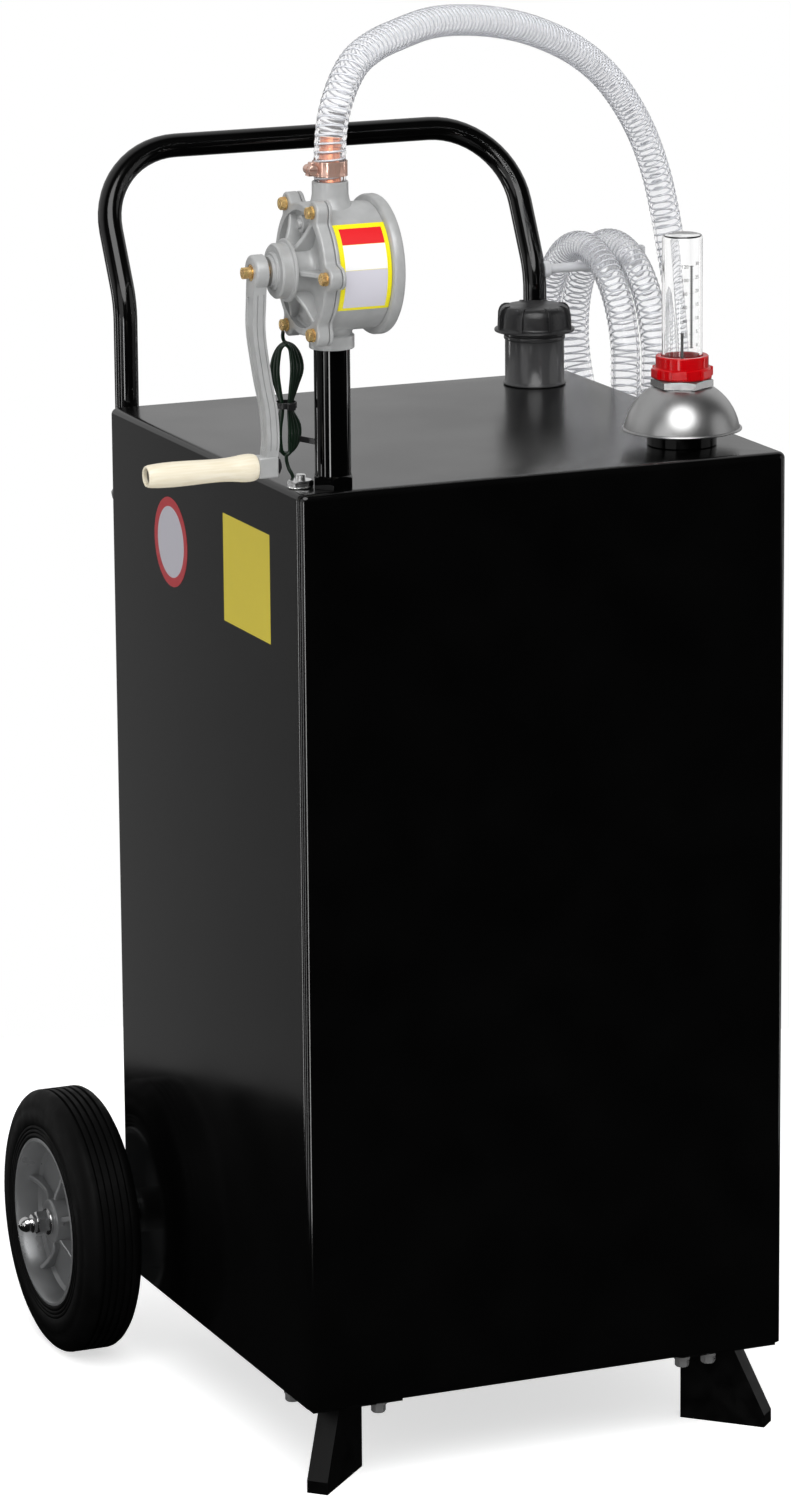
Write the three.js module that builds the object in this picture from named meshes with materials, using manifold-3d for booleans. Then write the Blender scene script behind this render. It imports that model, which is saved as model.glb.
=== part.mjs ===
// Fuel caddy: a square steel tank on two rear wheels and two front feet, with a push handle,
// a rotary hand pump on its suction column, a filler, a float gauge, a delivery hose coiled on
// a hook and a bonding wire. Millimetres, +Z up, crank on -X, front of the tank on -Y.
import * as THREE from 'three';
import { mergeVertices } from 'three/addons/utils/BufferGeometryUtils.js';
import Module from 'manifold-3d';

const wasm = await Module();
wasm.setup();

// Clearances and facet counts
const GAP = 0.3;
const OVERRUN = 2;
const WELD = 1e-4;
const FACETS = { wheel: 22, large: 18, medium: 16, small: 12, least: 8, bolt: 6 };
const QUARTER = Math.PI / 2;
const TURN = Math.PI * 2;

// Driving dimensions
const tank = {
  width: 400, depth: 400, height: 710, wall: 1.5, corner: 7, fold: 5, chime: 14, leastCorner: 1,
};
const tankHalf = { width: tank.width / 2, depth: tank.depth / 2 };
// How far things stand in from the tank's sides, out from them, below its top and above it
const inset = {
  handleLeg: 22, crossbarEnd: 7, columnX: 35.5, columnY: 21.3, fillerX: 52, fillerY: 48, gaugeX: 58,
  gaugeY: 65, groundNutX: 13, groundNutY: 30, float: 57.5,
};
const outset = { axle: 17.7, wheelFace: 64, axleEnd: 8, coil: 70 };
const drop = { crossbar: 77 };
const rise = { handleBend: 79, handleTop: 193, coil: 4 };

const foot = {
  height: 70, sheet: 3, plate: 74, plateInset: 4, webRun: 70, webTop: 42, toe: 10, channel: 17,
  innerReach: 84.5,
};
const wheel = { radius: 107.8, width: 50, outerFace: tankHalf.width + outset.wheelFace, tyreBore: 66.5 };
const axle = {
  radius: 6, y: tankHalf.depth + outset.axle, z: wheel.radius - foot.height,
  reach: wheel.outerFace + outset.axleEnd, collarRadius: 9,
};
const frameTube = {
  radius: 9.5, wall: 1.6, halfSpan: tankHalf.width - inset.handleLeg, low: 14,
  bendHeight: tank.height + rise.handleBend, lean: 28.1, bendRadius: 60, cornerRadius: 68,
  top: tank.height + rise.handleTop, sides: 10, boreSides: 6, kneeSteps: 2, cornerSteps: 5,
};
const crossbar = {
  z: tank.height - drop.crossbar, height: 32, halfLength: tankHalf.width - inset.crossbarEnd,
};
const column = {
  x: inset.columnX - tankHalf.width, y: inset.columnY - tankHalf.depth, radius: 13.45, bore: 10.8, low: 26,
};
const pump = { axisHeight: 164.5, barrel: 47, rear: 29, front: 15, bore: 38, boreDrop: 3 };
const filler = {
  x: tankHalf.width - inset.fillerX, y: tankHalf.depth - inset.fillerY, bore: 20.5, radius: 23.8, height: 58,
};
const gauge = {
  x: tankHalf.width - inset.gaugeX, y: inset.gaugeY - tankHalf.depth, bore: 13, stud: 17.5, hex: 41.7,
};
const hose = { radius: 12, valley: 11.3, bore: 9.6, ribs: 60, boreEvery: 4 };
const coil = {
  x: tankHalf.width + outset.coil, y: axle.y, z: tank.height + rise.coil, radius: 93, pitch: 27,
  from: -1 / 16, to: 2, steps: 24, sides: 6,
};
const wire = { radius: 1.4, loops: 3, steps: 18, sides: 5 };

// Materials
function paint(color, roughness, metalness) {
  return new THREE.MeshStandardMaterial({ color, roughness, metalness });
}

const finish = {
  blackPaint: paint(0x0b0b0c, 0.15, 0),
  castAluminium: paint(0x9a9c9e, 0.5, 0.6),
  brightSteel: paint(0xc8cacc, 0.25, 1),
  yellowZinc: paint(0xd8b055, 0.3, 1),
  brass: paint(0xc98a3a, 0.3, 1),
  blackPlastic: paint(0x1d1d1f, 0.45, 0),
  greyPlastic: paint(0x3a3b3d, 0.4, 0),
  redPlastic: paint(0xc8101c, 0.35, 0),
  clearPlastic: paint(0xeef3f6, 0.05, 0),
  clearVinyl: paint(0xe6eaee, 0.15, 0),
  rubber: paint(0x141414, 0.8, 0),
  greyEnamel: paint(0x77797b, 0.4, 0.3),
  beech: paint(0xf2e3bd, 0.5, 0),
  greenVinyl: paint(0x10271a, 0.5, 0),
  steel: paint(0x8f9295, 0.35, 1),
};

// Solids from closed geometries
function weld(geometry) {
  const bare = new THREE.BufferGeometry();
  bare.setAttribute('position', geometry.getAttribute('position').clone());
  if (geometry.index) bare.setIndex(geometry.index.clone());
  return mergeVertices(bare, WELD);
}

function signedVolume(positions, triangles) {
  const corners = [new THREE.Vector3(), new THREE.Vector3(), new THREE.Vector3()];
  let sum = 0;
  for (let i = 0; i < triangles.length; i += 3) {
    corners.forEach((corner, k) => corner.fromBufferAttribute(positions, triangles[i + k]));
    sum += corners[0].dot(corners[1].cross(corners[2]));
  }
  return sum;
}

function solid(geometry) {
  const welded = weld(geometry);
  const positions = welded.getAttribute('position');
  const indices = welded.index.array;
  const triangles = [];
  for (let i = 0; i < indices.length; i += 3) {
    const [a, b, c] = [indices[i], indices[i + 1], indices[i + 2]];
    if (a !== b && b !== c && c !== a) triangles.push(a, b, c);
  }
  if (signedVolume(positions, triangles) < 0) triangles.reverse();
  return new wasm.Manifold(new wasm.Mesh({
    numProp: 3,
    vertProperties: new Float32Array(positions.array),
    triVerts: new Uint32Array(triangles),
  }));
}

const join = (...parts) => parts.reduce((sum, part) => sum.add(part));
const cut = (body, ...tools) => tools.reduce((rest, tool) => rest.subtract(tool), body);

function bodyMesh(name, body, material) {
  const made = body.getMesh();
  const geometry = new THREE.BufferGeometry();
  const points = [];
  for (let i = 0; i < made.vertProperties.length; i += made.numProp) {
    points.push(...made.vertProperties.slice(i, i + 3));
  }
  geometry.setAttribute('position', new THREE.Float32BufferAttribute(points, 3));
  geometry.setIndex(Array.from(made.triVerts));
  geometry.computeVertexNormals();
  const mesh = new THREE.Mesh(geometry, material);
  mesh.name = name;
  return mesh;
}

// Basic forms. Each returns a geometry along +Z unless its name says otherwise.
function revolve(profile, facets = FACETS.medium) {
  const points = profile.map(([radius, z]) => new THREE.Vector2(radius, z));
  return new THREE.LatheGeometry(points, facets).rotateX(QUARTER);
}

const ringProfile = (profile) => [...profile, profile[0]];
const revolveRing = (profile, facets) => revolve(ringProfile(profile), facets);

function rod(radius, low, high, facets = FACETS.small) {
  return revolve([[0, low], [radius, low], [radius, high], [0, high]], facets);
}

function sleeve(inner, outer, low, high, facets = FACETS.medium) {
  return revolveRing([[inner, low], [outer, low], [outer, high], [inner, high]], facets);
}

function plate(points, low, high) {
  const shape = new THREE.Shape(points.map(([x, y]) => new THREE.Vector2(x, y)));
  const geometry = new THREE.ExtrudeGeometry(shape, { depth: high - low, bevelEnabled: false });
  return geometry.translate(0, 0, low);
}

function block(xs, ys, zs) {
  const size = [xs, ys, zs].map(([low, high]) => high - low);
  const middle = [xs, ys, zs].map(([low, high]) => (high + low) / 2);
  return new THREE.BoxGeometry(...size).translate(...middle);
}

function polygon(count, radius, start = 0) {
  return Array.from({ length: count }, (_, i) => {
    const angle = start + (TURN * i) / count;
    return [radius * Math.cos(angle), radius * Math.sin(angle)];
  });
}

const hexagon = (acrossFlats, start = 0) => polygon(6, acrossFlats / 2 / Math.cos(Math.PI / 6), start);

const alongX = (geometry) => geometry.rotateY(QUARTER);
const alongMinusX = (geometry) => geometry.rotateY(-QUARTER);
const alongY = (geometry) => geometry.rotateX(-QUARTER);

// A plate drawn in X and Z, between two Y values
function plateAcrossY(points, low, high) {
  return plate(points, -high, -low).rotateX(QUARTER);
}

// A plate drawn in Y and Z, between two X values
function plateAcrossX(points, low, high) {
  return plate(points.map(([y, z]) => [-z, y]), low, high).rotateY(QUARTER);
}

function roundedRectangle(width, depth, radius, steps = 3) {
  const points = [];
  const centres = [[1, 1], [-1, 1], [-1, -1], [1, -1]];
  centres.forEach(([sx, sy], corner) => {
    for (let i = 0; i <= steps; i += 1) {
      const angle = QUARTER * (corner + i / steps);
      points.push([
        sx * (width / 2 - radius) + radius * Math.cos(angle),
        sy * (depth / 2 - radius) + radius * Math.sin(angle),
      ]);
    }
  });
  return points;
}

// Walls between rings of equally many points, with flat ends or closed end to end
function skin(rings, closed = false) {
  const count = rings[0].length;
  const positions = rings.flat(2);
  const index = [];
  const strips = closed ? rings.length : rings.length - 1;
  for (let r = 0; r < strips; r += 1) {
    const next = (r + 1) % rings.length;
    for (let i = 0; i < count; i += 1) {
      const j = (i + 1) % count;
      const [a, b, c, d] = [r * count + i, r * count + j, next * count + j, next * count + i];
      index.push(a, b, c, a, c, d);
    }
  }
  if (!closed) {
    const last = (rings.length - 1) * count;
    for (let i = 1; i < count - 1; i += 1) {
      index.push(0, i + 1, i, last, last + i, last + i + 1);
    }
  }
  const geometry = new THREE.BufferGeometry();
  geometry.setAttribute('position', new THREE.Float32BufferAttribute(positions, 3));
  geometry.setIndex(index);
  return geometry;
}

// A path that is walked station by station
class StationPath extends THREE.Curve {
  constructor(stations) {
    super();
    this.stations = stations;
  }

  getPoint(share, target = new THREE.Vector3()) {
    const last = this.stations.length - 1;
    const place = Math.min(Math.max(share, 0), 1) * last;
    const before = Math.min(Math.floor(place), last - 1);
    return target.lerpVectors(this.stations[before], this.stations[before + 1], place - before);
  }

  getPointAt(share, target) {
    return this.getPoint(share, target);
  }

  getTangentAt(share, target = new THREE.Vector3()) {
    const last = this.stations.length - 1;
    const place = Math.round(share * last);
    const after = this.stations[Math.min(place + 1, last)];
    return target.subVectors(after, this.stations[Math.max(place - 1, 0)]).normalize();
  }
}

function sweep(stations, radius, sides, bore = 0, boreSides = sides) {
  const shape = new THREE.Shape(polygon(sides, radius).map(([x, y]) => new THREE.Vector2(x, y)));
  if (bore > 0) {
    const inner = polygon(boreSides, bore).map(([x, y]) => new THREE.Vector2(x, y));
    shape.holes.push(new THREE.Path(inner.reverse()));
  }
  const extrudePath = new StationPath(stations);
  const steps = stations.length - 1;
  return new THREE.ExtrudeGeometry(shape, { steps, extrudePath, bevelEnabled: false });
}

function ringsAlong(stations, radii, sides) {
  const frames = new StationPath(stations).computeFrenetFrames(stations.length - 1, false);
  return stations.map((station, s) => polygon(sides, radii[s]).map(([u, v]) => {
    const point = station.clone();
    point.addScaledVector(frames.normals[s], u).addScaledVector(frames.binormals[s], v);
    return point.toArray();
  }));
}

const vectors = (points) => points.map((point) => new THREE.Vector3(...point));

function arcStations(centre, from, to, radius, steps) {
  return Array.from({ length: steps + 1 }, (_, i) => {
    const angle = (QUARTER * i) / steps;
    return centre.clone()
      .addScaledVector(from, radius * Math.cos(angle))
      .addScaledVector(to, radius * Math.sin(angle));
  });
}

function leastGap(stations, radius, reach) {
  let least = Infinity;
  stations.forEach((station, i) => {
    for (let j = i + reach; j < stations.length; j += 1) {
      least = Math.min(least, station.distanceTo(stations[j]) - 2 * radius);
    }
  });
  return least;
}

function bolt({ hex, head, shank, length, facets = FACETS.small }) {
  const body = solid(plate(hexagon(hex), 0, head));
  return join(body, solid(rod(shank, -length, OVERRUN / 2, facets)));
}

// Tank
const suctionHole = column.radius + GAP;
const fillerSpigot = { radius: 21.8, depth: 14 };
const gaugeSpigot = { depth: 14 };

function tankRing(fold, z, spread = 0) {
  const radius = Math.max(tank.corner - fold - spread, tank.leastCorner);
  const width = tank.width - 2 * (fold + spread);
  const depth = tank.depth - 2 * (fold + spread);
  return roundedRectangle(width, depth, radius).map(([x, y]) => [x, y, z]);
}

function foldedRings(spread) {
  const foldSteps = 2;
  const radius = tank.fold - spread;
  return Array.from({ length: foldSteps + 1 }, (_, i) => {
    const angle = (QUARTER * i) / foldSteps;
    const turnedIn = radius * (1 - Math.cos(angle));
    return tankRing(turnedIn, tank.height - tank.fold + radius * Math.sin(angle), spread);
  });
}

function tankShell() {
  const hole = (x, y, radius) => {
    const drill = rod(radius, tank.height - tank.fold, tank.height + OVERRUN, FACETS.medium);
    return solid(drill.translate(x, y, 0));
  };
  return cut(
    solid(skin([tankRing(0, 0), ...foldedRings(0)])),
    solid(skin([tankRing(0, -OVERRUN, tank.wall), ...foldedRings(tank.wall)])),
    hole(column.x, column.y, suctionHole),
    hole(filler.x, filler.y, fillerSpigot.radius + GAP),
    hole(gauge.x, gauge.y, gauge.stud + GAP),
  );
}

function tankBottom() {
  const spread = tank.wall + GAP;
  const outer = [tankRing(0, 0, spread), tankRing(0, tank.chime, spread)];
  const inside = spread + tank.wall;
  const inner = [tankRing(0, tank.wall, inside), tankRing(0, tank.chime + OVERRUN, inside)];
  return cut(solid(skin(outer)), solid(skin(inner)));
}

// Feet: a pressed channel along the corner's diagonal, under a bolted plate
function footBody(sideX) {
  const { sheet, height, channel, webRun, webTop, toe } = foot;
  const inner = 0;
  const outline = [
    [inner, -sheet], [inner, -height], [webRun, -height], [webRun, toe - height], [webTop, -sheet],
  ];
  const hollow = [
    [inner - OVERRUN, -2 * sheet], [inner - OVERRUN, sheet - height], [webRun - sheet, sheet - height],
    [webRun - sheet, toe - height], [webTop - sheet, -2 * sheet],
  ];
  const half = channel / 2;
  const bracket = cut(
    solid(plateAcrossY(outline, -half, half)),
    solid(plateAcrossY(hollow, sheet - half, half - sheet)),
  );
  const diagonal = Math.atan2(-1, sideX);
  const corner = { x: sideX * (tankHalf.width - foot.plateInset), y: foot.plateInset - tankHalf.depth };
  const topPlate = solid(block(
    [Math.min(corner.x, corner.x - sideX * foot.plate), Math.max(corner.x, corner.x - sideX * foot.plate)],
    [corner.y, corner.y + foot.plate],
    [-sheet - GAP, -GAP],
  ));
  const run = bracket.getMesh();
  const channelGeometry = new THREE.BufferGeometry();
  channelGeometry.setAttribute('position', new THREE.BufferAttribute(run.vertProperties, 3));
  channelGeometry.setIndex(new THREE.BufferAttribute(run.triVerts, 1));
  channelGeometry.translate(foot.sheet - foot.innerReach, 0, 0).rotateZ(diagonal);
  channelGeometry.translate(sideX * tankHalf.width, -tankHalf.depth, 0);
  return join(solid(channelGeometry), topPlate);
}

// Wheels. Built for the right side, outer face at the wheel's own +X.
const tread = { groove: 2.2, halfGroove: 1.6, shoulder: 7, shares: [-0.35, 0.35] };
const rim = {
  lip: 69, lipDepth: 3, barrel: 66.2, wall: 3, web: 4, webShare: 0.42, hub: 18, hubBore: 8.9, hubEnd: 5.5,
  ribs: 5, ribWidth: 4.5,
};

function tyreBody() {
  const half = wheel.width / 2;
  const crown = wheel.radius;
  const land = half - tread.shoulder;
  const seat = half - rim.lipDepth - GAP;
  const edge = half - tread.shoulder / 3;
  const profile = [
    [wheel.tyreBore, -seat], [rim.lip + GAP, -seat], [rim.lip + GAP, -half],
    [crown - 2 * tread.shoulder, -half], [crown - tread.shoulder / 2, -edge], [crown, -land],
  ];
  tread.shares.forEach((share) => {
    const z = share * land;
    profile.push([crown, z - tread.halfGroove], [crown - tread.groove, z], [crown, z + tread.halfGroove]);
  });
  profile.push([crown, land], [crown - tread.shoulder / 2, edge], [crown - 2 * tread.shoulder, half]);
  profile.push([rim.lip + GAP, half], [rim.lip + GAP, seat], [wheel.tyreBore, seat]);
  return solid(alongX(revolveRing(profile, FACETS.wheel)));
}

function rimBody() {
  const half = wheel.width / 2;
  const inside = rim.barrel - rim.wall;
  const webAt = half * (1 - 2 * rim.webShare);
  const hubFront = half - rim.hubEnd;
  const profile = [
    [rim.hubBore, -half], [rim.hub, -half], [rim.hub, webAt - rim.web], [inside, webAt - rim.web],
    [inside, -half], [rim.lip, -half], [rim.lip, -half + rim.lipDepth], [rim.barrel, -half + rim.lipDepth],
    [rim.barrel, half - rim.lipDepth], [rim.lip, half - rim.lipDepth], [rim.lip, half],
    [rim.lip - rim.wall, half], [inside, half - 2 * rim.lipDepth], [inside, webAt], [rim.hub, webAt],
    [rim.hub, hubFront], [rim.hubBore, hubFront],
  ];
  const ribOutline = [
    [rim.hub - rim.wall, webAt - rim.web / 2], [inside + rim.wall / 2, webAt - rim.web / 2],
    [inside + rim.wall / 2, half - 3 * rim.lipDepth], [(inside + rim.hub) / 2, webAt + rim.web],
    [rim.hub - rim.wall, hubFront - 2 * rim.lipDepth],
  ];
  const ribs = Array.from({ length: rim.ribs }, (_, i) => {
    const rib = plateAcrossY(ribOutline, -rim.ribWidth / 2, rim.ribWidth / 2);
    return solid(alongX(rib.rotateZ((TURN * i) / rim.ribs)));
  });
  return join(solid(alongX(revolveRing(profile, FACETS.wheel))), ...ribs);
}

function bushBody() {
  const half = wheel.width / 2;
  const [inner, outer] = [axle.radius + GAP, rim.hubBore - GAP];
  return solid(alongX(sleeve(inner, outer, -half, half - rim.hubEnd, FACETS.small)));
}

const axleNut = { washer: 11, washerDepth: 2, hex: 17, hexDepth: 10, collar: 7.6, collarDepth: 4, dome: 6.6 };

function axleNutBody() {
  const from = wheel.width / 2 - rim.hubEnd + GAP;
  const washerEnd = from + axleNut.washerDepth;
  const hexEnd = washerEnd + axleNut.hexDepth;
  const collarEnd = hexEnd + axleNut.collarDepth;
  const domeTop = collarEnd + axleNut.dome + axleNut.collarDepth;
  const cap = revolve([
    [0, hexEnd - OVERRUN], [axleNut.collar, hexEnd - OVERRUN], [axleNut.collar, collarEnd],
    [axleNut.dome, collarEnd + axleNut.collarDepth], [axleNut.dome * Math.SQRT1_2, domeTop - OVERRUN],
    [0, domeTop],
  ], FACETS.small);
  const end = axle.reach - (wheel.outerFace - wheel.width / 2) + GAP;
  return cut(
    join(
      solid(alongX(rod(axleNut.washer, from, washerEnd, FACETS.medium))),
      solid(alongX(plate(hexagon(axleNut.hex), washerEnd - GAP, hexEnd))),
      solid(alongX(cap)),
    ),
    solid(alongX(rod(axle.radius + GAP, from - OVERRUN, end))),
  );
}

function wheelGroup(side, label) {
  const group = new THREE.Group();
  group.position.set(side * (wheel.outerFace - wheel.width / 2), axle.y, axle.z);
  group.rotation.z = side > 0 ? 0 : Math.PI;
  group.add(
    bodyMesh(`tyre_${label}`, tyreBody(), finish.rubber),
    bodyMesh(`wheel_rim_${label}`, rimBody(), finish.greyEnamel),
    bodyMesh(`wheel_bush_${label}`, bushBody(), finish.blackPlastic),
    bodyMesh(`axle_nut_${label}`, axleNutBody(), finish.brightSteel),
  );
  return group;
}

function axleBody() {
  const { radius, reach, collarRadius } = axle;
  const near = frameTube.halfSpan + frameTube.radius + GAP;
  const far = wheel.outerFace - wheel.width - GAP;
  const profile = [
    [0, -reach], [radius, -reach], [radius, -far], [collarRadius, -far], [collarRadius, -near],
    [radius, -near], [radius, near], [collarRadius, near], [collarRadius, far], [radius, far],
    [radius, reach], [0, reach],
  ];
  return solid(alongX(revolve(profile, FACETS.small)).translate(0, axle.y, axle.z));
}

const axleBracket = { sheet: 4, low: -22, high: 40, flange: 32, ear: 17, legGap: 5 };

function axleBracketBody(side) {
  const { sheet, low, high, flange, ear } = axleBracket;
  const wall = tankHalf.depth + GAP;
  const outer = frameTube.halfSpan - frameTube.radius - axleBracket.legGap;
  const slant = ear * Math.SQRT1_2;
  const earOutline = [
    [wall, axle.z + low], [axle.y, axle.z - ear], [axle.y + slant, axle.z - slant],
    [axle.y + ear, axle.z], [axle.y + slant, axle.z + slant], [axle.y, axle.z + ear],
    [wall, axle.z + high],
  ];
  const span = (from, to) => [Math.min(side * from, side * to), Math.max(side * from, side * to)];
  const body = join(
    solid(plateAcrossX(earOutline, ...span(outer - sheet, outer))),
    solid(block(span(outer - flange, outer), [wall, wall + sheet], [axle.z + low, axle.z + high])),
  );
  const drill = rod(axle.radius + GAP, -sheet, sheet).rotateY(QUARTER);
  return cut(body, solid(drill.translate(side * (outer - sheet / 2), axle.y, axle.z)));
}

// Handle frame: one bent tube from axle to axle, behind the tank
function handleStations() {
  const lean = THREE.MathUtils.degToRad(frameTube.lean);
  const up = new THREE.Vector3(0, Math.sin(lean), Math.cos(lean));
  const knee = new THREE.Vector3(-frameTube.halfSpan, axle.y, frameTube.bendHeight);
  const slack = frameTube.bendRadius * Math.tan(lean / 2);
  const { kneeSteps, cornerSteps } = frameTube;
  const left = [new THREE.Vector3(knee.x, knee.y, frameTube.low)];
  for (let i = 0; i <= kneeSteps; i += 1) {
    const angle = (lean * i) / kneeSteps;
    left.push(new THREE.Vector3(
      knee.x,
      knee.y + frameTube.bendRadius * (1 - Math.cos(angle)),
      knee.z - slack + frameTube.bendRadius * Math.sin(angle),
    ));
  }
  const length = (frameTube.top - frameTube.bendHeight) / Math.cos(lean) - frameTube.cornerRadius;
  const inward = new THREE.Vector3(1, 0, 0);
  const centre = knee.clone().addScaledVector(up, length).addScaledVector(inward, frameTube.cornerRadius);
  const outward = inward.clone().negate();
  left.push(...arcStations(centre, outward, up, frameTube.cornerRadius, cornerSteps));
  const right = left.map((point) => new THREE.Vector3(-point.x, point.y, point.z)).reverse();
  return [...left, ...right];
}

const legBolt = { hex: 17, head: 6.4, shank: 4 };

function handleFrame() {
  const tube = solid(sweep(
    handleStations(), frameTube.radius, frameTube.sides, frameTube.radius - frameTube.wall,
    frameTube.boreSides,
  ));
  const axleDrill = alongX(rod(axle.radius + GAP, -tankHalf.width, tankHalf.width, FACETS.small));
  const boltDrill = (side) => solid(
    alongY(rod(legBolt.shank + GAP, tankHalf.depth, axle.y + 2 * frameTube.radius))
      .translate(side * frameTube.halfSpan, 0, crossbar.z),
  );
  return cut(tube, solid(axleDrill.translate(0, axle.y, axle.z)), boltDrill(-1), boltDrill(1));
}

const crossbarFace = [tankHalf.depth + GAP, axle.y - frameTube.radius - GAP];

function crossbarBody() {
  const bar = block(
    [-crossbar.halfLength, crossbar.halfLength], crossbarFace,
    [crossbar.z - crossbar.height / 2, crossbar.z + crossbar.height / 2],
  );
  const drill = (side) => solid(
    alongY(rod(legBolt.shank + GAP, crossbarFace[0] - OVERRUN, crossbarFace[1] + OVERRUN))
      .translate(side * frameTube.halfSpan, 0, crossbar.z),
  );
  return cut(solid(bar), drill(-1), drill(1));
}

function legBoltBody(side) {
  const headFace = axle.y + frameTube.radius + GAP;
  const length = headFace - crossbarFace[0] - GAP;
  const body = bolt({ ...legBolt, length });
  const mesh = bodyMesh(`leg_bolt_${side < 0 ? 'left' : 'right'}`, body, finish.steel);
  mesh.rotation.x = -QUARTER;
  mesh.position.set(side * frameTube.halfSpan, headFace, crossbar.z);
  return mesh;
}

// Hose hook: a rod from the right-hand leg, under the crown of the coil
const hook = { rod: 4, boss: 7, bossDepth: 6, tip: 14, bend: 6, bendSteps: 3 };

function hookBody() {
  const z = coil.z + coil.radius - hose.radius - hook.rod - GAP;
  const legSide = frameTube.halfSpan + Math.sqrt(frameTube.radius ** 2 - hook.boss ** 2) + GAP;
  const end = coil.x - coil.pitch / 2 + hose.radius + hook.rod + GAP;
  const stations = [
    new THREE.Vector3(legSide, coil.y, z),
    ...arcStations(
      new THREE.Vector3(end - hook.bend, coil.y, z + hook.bend), new THREE.Vector3(0, 0, -1),
      new THREE.Vector3(1, 0, 0), hook.bend, hook.bendSteps,
    ),
    new THREE.Vector3(end, coil.y, z + hook.tip),
  ];
  const boss = alongX(rod(hook.boss, legSide, legSide + hook.bossDepth)).translate(0, coil.y, z);
  return cut(
    join(solid(sweep(stations, hook.rod, FACETS.least)), solid(boss)),
    solid(sweep(handleStations(), frameTube.radius + GAP, frameTube.sides)),
  );
}

// Suction column and strainer
const socket = { hex: 28, height: 10, turnedBy: 2.25 };
const strainer = {
  radius: 16, low: 6, high: 48, slotTop: 20, slots: 6, slotWidth: 3, floor: 2, slotLow: 6,
};

function suctionTube() {
  return solid(sleeve(column.bore, column.radius, column.low, tank.height + pump.axisHeight - inletDepth));
}

function socketBody() {
  const [low, high] = [tank.height + GAP, tank.height + socket.height];
  const hex = solid(plate(hexagon(socket.hex, socket.turnedBy), low, high));
  return cut(hex, solid(rod(column.radius + GAP, low - OVERRUN, high + OVERRUN, FACETS.medium)));
}

function strainerBody() {
  const cup = revolve([
    [0, strainer.low], [strainer.radius, strainer.low], [strainer.radius, strainer.high],
    [column.radius + GAP, strainer.high], [column.radius + GAP, strainer.low + strainer.floor],
    [0, strainer.low + strainer.floor],
  ], FACETS.medium);
  const slots = Array.from({ length: strainer.slots }, (_, i) => solid(block(
    [column.radius - OVERRUN, strainer.radius + OVERRUN], [-strainer.slotWidth / 2, strainer.slotWidth / 2],
    [strainer.low + strainer.slotLow, strainer.low + strainer.slotTop],
  ).rotateZ((TURN * i) / strainer.slots)));
  return cut(solid(cup), ...slots);
}

// Pump. Axial sizes run from the column's axis towards the crank.
const inletDepth = 42;
const spigot = {
  outletRadius: 13.4, outletHigh: 63.5, inletRadius: 16.8, inletLow: -60, port: 9, barbDepth: 12, barb: 10,
};
const flange = { radius: 49, depth: 6, lobe: 8.5, circle: 52, count: 6, hole: 2.5 };
const cover = {
  depth: 9.4, web: 3.7, dish: 43, neckRadius: 18.3, neckEnd: 34.5, ringRadius: 23.4, ringEnd: 37,
  bossRadius: 20.4, bossEnd: 45.7, glandRadius: 13.9, glandEnd: 48, noseRadius: 11.5, noseEnd: 50.3,
  ribWidth: 4, ribFoot: 4, bleed: 6.5, bleedHeight: 5, bleedAt: 33, plug: 3.6,
};
const back = { radius: 51.8, depth: 9.3, edge: 3, recess: 3.5, recessRadius: 41, boss: 13, pocket: 6 };
const shaft = { radius: 6, thread: 4, threadFrom: 63.2, end: 68.6 };
const rotor = { radius: 33.5, slot: 3.2, slotDepth: 14, vaneTip: 33.9 };
const coverBolt = { hex: 8.5, head: 4.8, shank: 2.2 };

const coverBase = pump.front + GAP;
const coverFace = coverBase + cover.depth;

function aroundBolts(make) {
  return Array.from({ length: flange.count }, (_, i) => {
    const angle = (TURN * (i + 1 / 2)) / flange.count;
    return make(flange.circle * Math.cos(angle), flange.circle * Math.sin(angle));
  });
}

function lobedDisc(low, high) {
  const lobes = aroundBolts((x, y) => solid(rod(flange.lobe, low, high, FACETS.least).translate(x, y, 0)));
  return join(solid(rod(flange.radius, low, high, FACETS.large)), ...lobes);
}

const turned = (body) => {
  const made = body.getMesh();
  const geometry = new THREE.BufferGeometry();
  geometry.setAttribute('position', new THREE.BufferAttribute(made.vertProperties, 3));
  geometry.setIndex(new THREE.BufferAttribute(made.triVerts, 1));
  return solid(alongMinusX(geometry));
};

function pumpBody() {
  const shell = join(
    solid(rod(pump.barrel, -pump.rear, pump.front - flange.depth + GAP, FACETS.large)),
    lobedDisc(pump.front - flange.depth, pump.front),
    solid(rod(flange.radius, -pump.rear, flange.depth - pump.rear - GAP, FACETS.large)),
  );
  const holes = aroundBolts((x, y) => solid(
    rod(flange.hole, pump.front - 2 * flange.depth, pump.front + OVERRUN, FACETS.bolt).translate(x, y, 0),
  ));
  const chamber = rod(pump.bore, -pump.rear - OVERRUN, pump.front + OVERRUN, FACETS.large);
  const barrel = turned(cut(shell, ...holes));
  const outlet = solid(rod(spigot.outletRadius, 0, spigot.outletHigh, FACETS.medium));
  const inlet = solid(revolve([
    [0, spigot.inletLow], [spigot.inletRadius, spigot.inletLow], [spigot.inletRadius, -flange.radius - GAP],
    [pump.front - GAP, -flange.radius - GAP], [pump.front - GAP, 0], [0, 0],
  ], FACETS.medium));
  const seatLow = spigot.outletHigh - spigot.barbDepth - GAP;
  return cut(
    join(barrel, outlet, inlet),
    turned(solid(chamber.translate(-pump.boreDrop, 0, 0))),
    solid(rod(spigot.port, spigot.inletLow - OVERRUN, spigot.outletHigh + OVERRUN)),
    solid(rod(spigot.barb + GAP, seatLow, spigot.outletHigh + OVERRUN, FACETS.medium)),
    solid(rod(column.radius + GAP, spigot.inletLow - OVERRUN, GAP - inletDepth, FACETS.medium)),
  );
}

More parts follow.
